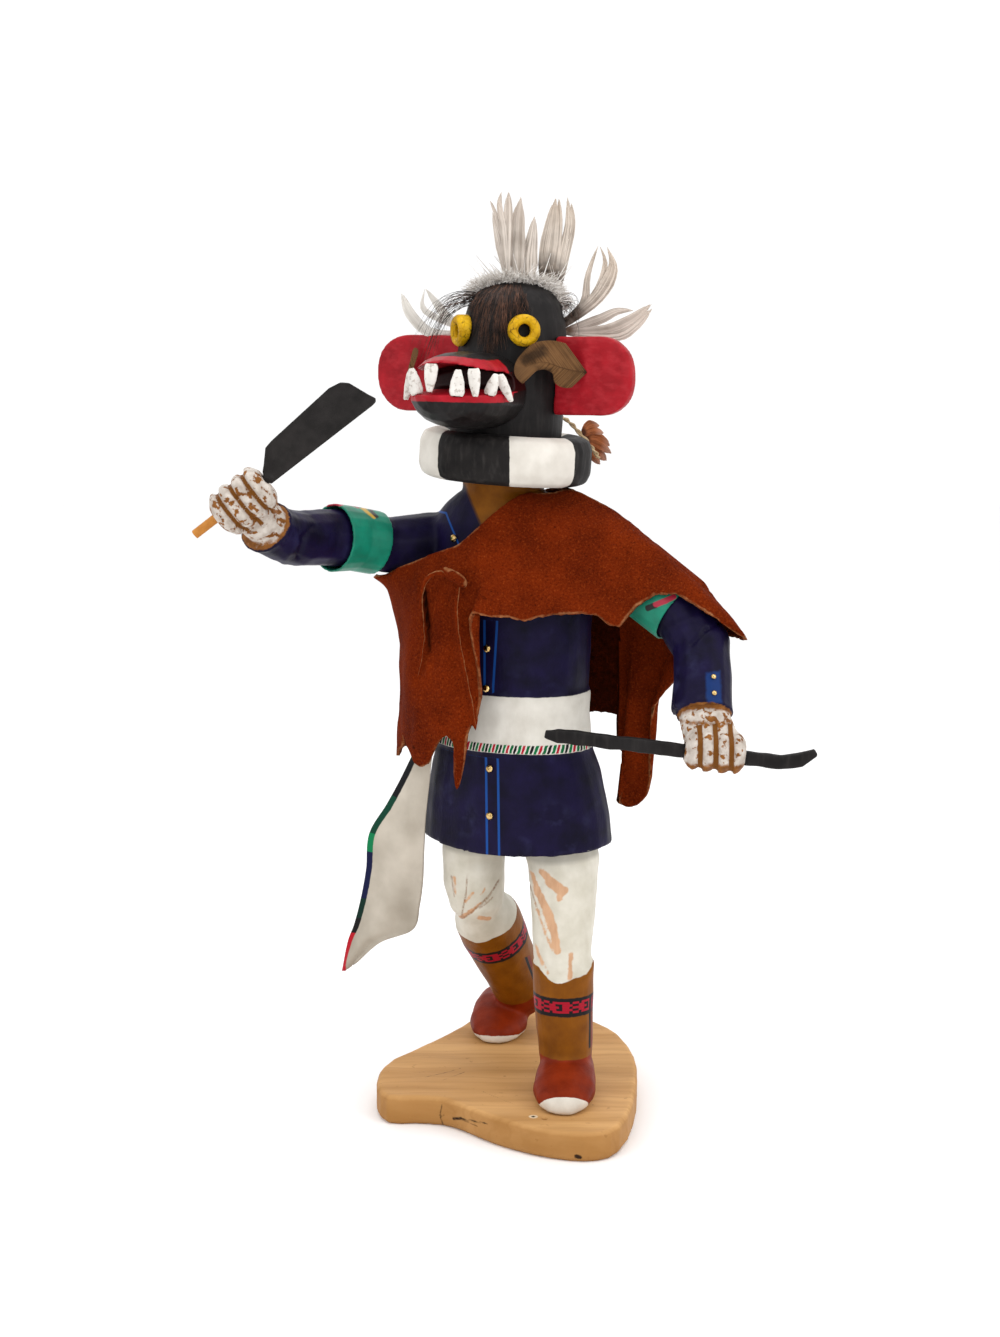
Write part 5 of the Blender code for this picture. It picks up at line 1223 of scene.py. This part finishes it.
rng = random.Random(feathers["seed"])
for name, node, look, blades in feathers["blades"]:
    lines, quills = [], []
    for path, widths in blades:
        lines += bladeStrands(rng, path, widths)
        last = len(path) - 1
        stem = [Vector(through(path, last * k / 10 * 0.9)) + Vector((0, -0.25, 0)) for k in range(11)]
        quills.append([(*lift(point), 1 - 0.085 * k) for k, point in enumerate(stem)])
    vane = (paleVane, brownFootVane, whiteVane, russetVane)[look]
    feather = dressFeather(name, node, lines, quills, vane, "brown_feather" if look == 3 else "feather")
    paintMap(feather, "spot", lambda p, n: -20.0)
for name, node, (y, x, slope), quill, outline in earFeathers:
    def placed(pair, size, out=0.0):
        rise = 0.4 * math.sin(max(0.0, min(3.14, (pair[0] - outline[0][0]) * 0.1)))
        return *lift(Vector((pair[0], y + (pair[0] - x) * slope - rise - out, pair[1]))), size
    barbs = outlineStrands(quill, outline, 90 if name.endswith("Near") else 36)
    lines = [[placed(pair, (1.1, 1.1, 1.1, 1.0, 0.6)[k]) for k, pair in enumerate(line)] for line in barbs]
    stem = [placed(through(quill, 2.9999 * k / 10), 1.1 - 0.08 * k, 0.25) for k in range(11)]
    feather = dressFeather(name, node, lines, [stem], brownVane, "brown_feather")
    paintMap(feather, "spot", lambda p, n: strokeReach(p.x / mm, p.z / mm, feathers["spots"]))
print("feathers made")

# Hair and fur: horsehair forelock with loose wisps, and a ring of pale rabbit fur on the crown
hairLook = {"strands": 760, "wide": 0.00026, "furHairs": 2300, "furWide": 0.000416, "seed": 11}
maskRows = (  # x, y, z and radius, in mm
    (-1.6, -7.0, 290.0, 23.7), (-1.4, -7.2, 302, 24.2), (0.2, -7.6, 325, 24.2), (1.4, -8, 340, 23.6),
    (2.0, -8, 350, 22.4), (2.4, -8, 358, 20.1), (2.5, -8, 363.5, 16.2), (2.5, -8, 366.6, 10.9),
    (2.5, -8, 368, 4.8))


def maskAt(z):  # axis and radius of the mask at a level
    for low, high in zip(maskRows, maskRows[1:]):
        if z <= high[2]:
            share = max(0.0, (z - low[2]) / (high[2] - low[2]))
            return [low[k] + (high[k] - low[k]) * share for k in (0, 1, 3)]
    return [maskRows[-1][k] for k in (0, 1, 3)]


def onMask(turn, level, out):  # a point over the mask at a turn from the viewer's side, in metres
    x, y, radius = maskAt(level)
    return lift(Vector((x + math.sin(turn) * (radius + out), y - math.cos(turn) * (radius + out), level)))


def wisp(start, end, bow):  # a loose hair that bows out on its way
    return [(*lift(start.lerp(end, k / 7) + bow * math.sin(math.pi * k / 7)), 0.9 - 0.7 * k / 7)
            for k in range(8)]


rng = random.Random(hairLook["seed"])
lines = []
for i in range(hairLook["strands"]):
    turn = math.radians(rng.triangular(-70, 18, -22))
    start = rng.uniform(362.5, 366.5)
    middle = 1 - min(1, abs(math.degrees(turn) + 24) / 34)
    end = 357 - rng.uniform(0.3, 1.0) * (2 + 22 * middle)
    sway = rng.uniform(-0.13, 0.16)
    out = rng.uniform(0.25, 1.3)
    line = []
    for k in range(8):
        share = k / 7
        level = start + (end - start) * share
        bent = turn + sway * share * share + 0.02 * math.sin(share * 7 + i)
        point = onMask(bent, level, 0.2 + out * math.sin(math.pi * (0.15 + 0.7 * share)))
        line.append((*point, 1.0 - 0.75 * share))
    lines.append(line)
for i in range(46):  # loose wisps over the far ear
    reach = rng.uniform(0.4, 1.0)
    start = Vector((rng.uniform(-15, -8), rng.uniform(-16, -6), rng.uniform(359, 364)))
    end = Vector((-18 - 24 * reach, rng.uniform(-24, -12), 352 - rng.uniform(6, 30) * reach))
    lines.append(wisp(start, end, Vector((-4, 0, rng.uniform(3, 9)))))
for i in range(60):  # and behind the near eye
    reach = rng.uniform(0.3, 1.0)
    start = Vector((rng.uniform(17, 23), rng.uniform(-10, 2), rng.uniform(357, 363)))
    end = start + Vector((rng.uniform(1, 11) * reach, rng.uniform(-4, 3), -rng.uniform(6, 24) * reach))
    lines.append(wisp(start, end, Vector((rng.uniform(2, 6), 0, rng.uniform(0, 4)))))
horsehair, tree, shader, where = newMaterial("darkHorsehair", 0.38, **{"Specular IOR Level": 0.3})
spread = ranged(tree, named(tree, "tone"), 0.35, 0.95)
faded = mottle(tree, where, "#382218", "#7d5540", 1 / 0.004)
setColour(tree, shader, over(tree, spread, tint("#0d0807"), faded))
newPiece("forelock", strandMesh("forelock", lines, hairLook["wide"] / 2), [horsehair], "horsehair", "hair")

lines = []
for i in range(hairLook["furHairs"]):
    turn = rng.uniform(0, 2 * math.pi)
    ring = Vector((3.8 + 17.2 * math.cos(turn), -5.5 + 10 * math.sin(turn), 0))
    spread = rng.uniform(-2.6, 2.6)
    root = Vector((ring.x + math.cos(turn) * spread, ring.y + math.sin(turn) * spread, 0))
    reach = math.hypot(root.x - 2.4, root.y + 8)
    level = 366.6
    for low, high in zip(maskRows, maskRows[1:]):
        if low[2] > 330 and low[3] >= reach >= high[3]:
            level = low[2] + (high[2] - low[2]) * (low[3] - reach) / (low[3] - high[3])
    root.z = level + rng.uniform(0.2, 2.2)
    way = Vector((math.cos(turn) * rng.uniform(-0.2, 1.1), math.sin(turn) * rng.uniform(0.0, 1.0),
                  rng.uniform(0.1, 1.1)))
    way += Vector((rng.uniform(-0.5, 0.5), rng.uniform(-0.3, 0.3), 0))
    long = rng.uniform(3.0, 6.8) * (1.5 if rng.random() < 0.06 else 1)
    way = way.normalized() * long
    drop = Vector((0, 0, -long * rng.uniform(0.1, 0.35)))
    lines.append([(*lift(root + way * k / 4 + drop * (k / 4) ** 2), 1 - 0.7 * k / 4) for k in range(5)])
for i in range(26):  # stiff guard hairs and broken barbs
    root = Vector((rng.uniform(-10, 22), rng.uniform(-12, 2), rng.uniform(366, 369)))
    aside = rng.uniform(-11, 2) if root.x < 6 else rng.uniform(-3, 9)
    way = Vector((aside, rng.uniform(-3, 3), rng.uniform(3, 13)))
    lines.append([(*lift(root + way * k / 4), 1.5 - 1.2 * k / 4) for k in range(5)])
rabbit, tree, shader, where = newMaterial("rabbitFur", 0.8)
grey = mottle(tree, where, "#90867c", "#cbc3ba", 1 / 0.0016)
setColour(tree, shader, over(tree, named(tree, "tone"), grey, tint("#fbf8f4")))
newPiece("crownFur", strandMesh("crownFur", lines, hairLook["furWide"] / 2), [rabbit], "rabbit_fur", "fur")

# Thong: two strands of pale hide laid together
thong = {  # path as turn in degrees, reach past the ruff and rise, in mm
    "path": ((32.7, -9.0, 5.9), (32.2, -3.9, 2.9), (29.5, 1.0, -2.6), (25.6, 5.2, -8.6), (23.0, 7.2, -12.6)),
    "strand": 0.0012, "centre": (-1.6, -7.0, 303.6), "ruff": 37.7, "twists": 3.5, "lay": 0.62,
}
lines = [[], []]
for i in range(41):
    share = i / 40
    turn, reach, rise = through(thong["path"], share * 3.9999)
    angle = math.radians(turn)
    out = thong["ruff"] + reach
    middle = Vector(thong["centre"]) + Vector((out * math.cos(angle), out * math.sin(angle), rise))
    spin = share * 2 * math.pi * thong["twists"]
    for k, line in enumerate(lines):
        side, up = math.cos(spin + math.pi * k), math.sin(spin + math.pi * k)
        line.append((*lift(middle + Vector((side, 0.5 * up, 0.7 * up)) * thong["lay"]), 1.0))
hide, tree, shader, where = newMaterial("paleHide", 0.75)
setColour(tree, shader, mottle(tree, where, "#8f7350", "#cbb793", 1 / 0.003))
newPiece("thong", strandMesh("thong", lines, thong["strand"] / 2), [hide], "pale_hide", "back_thong")
print("hair, fur and thong made")
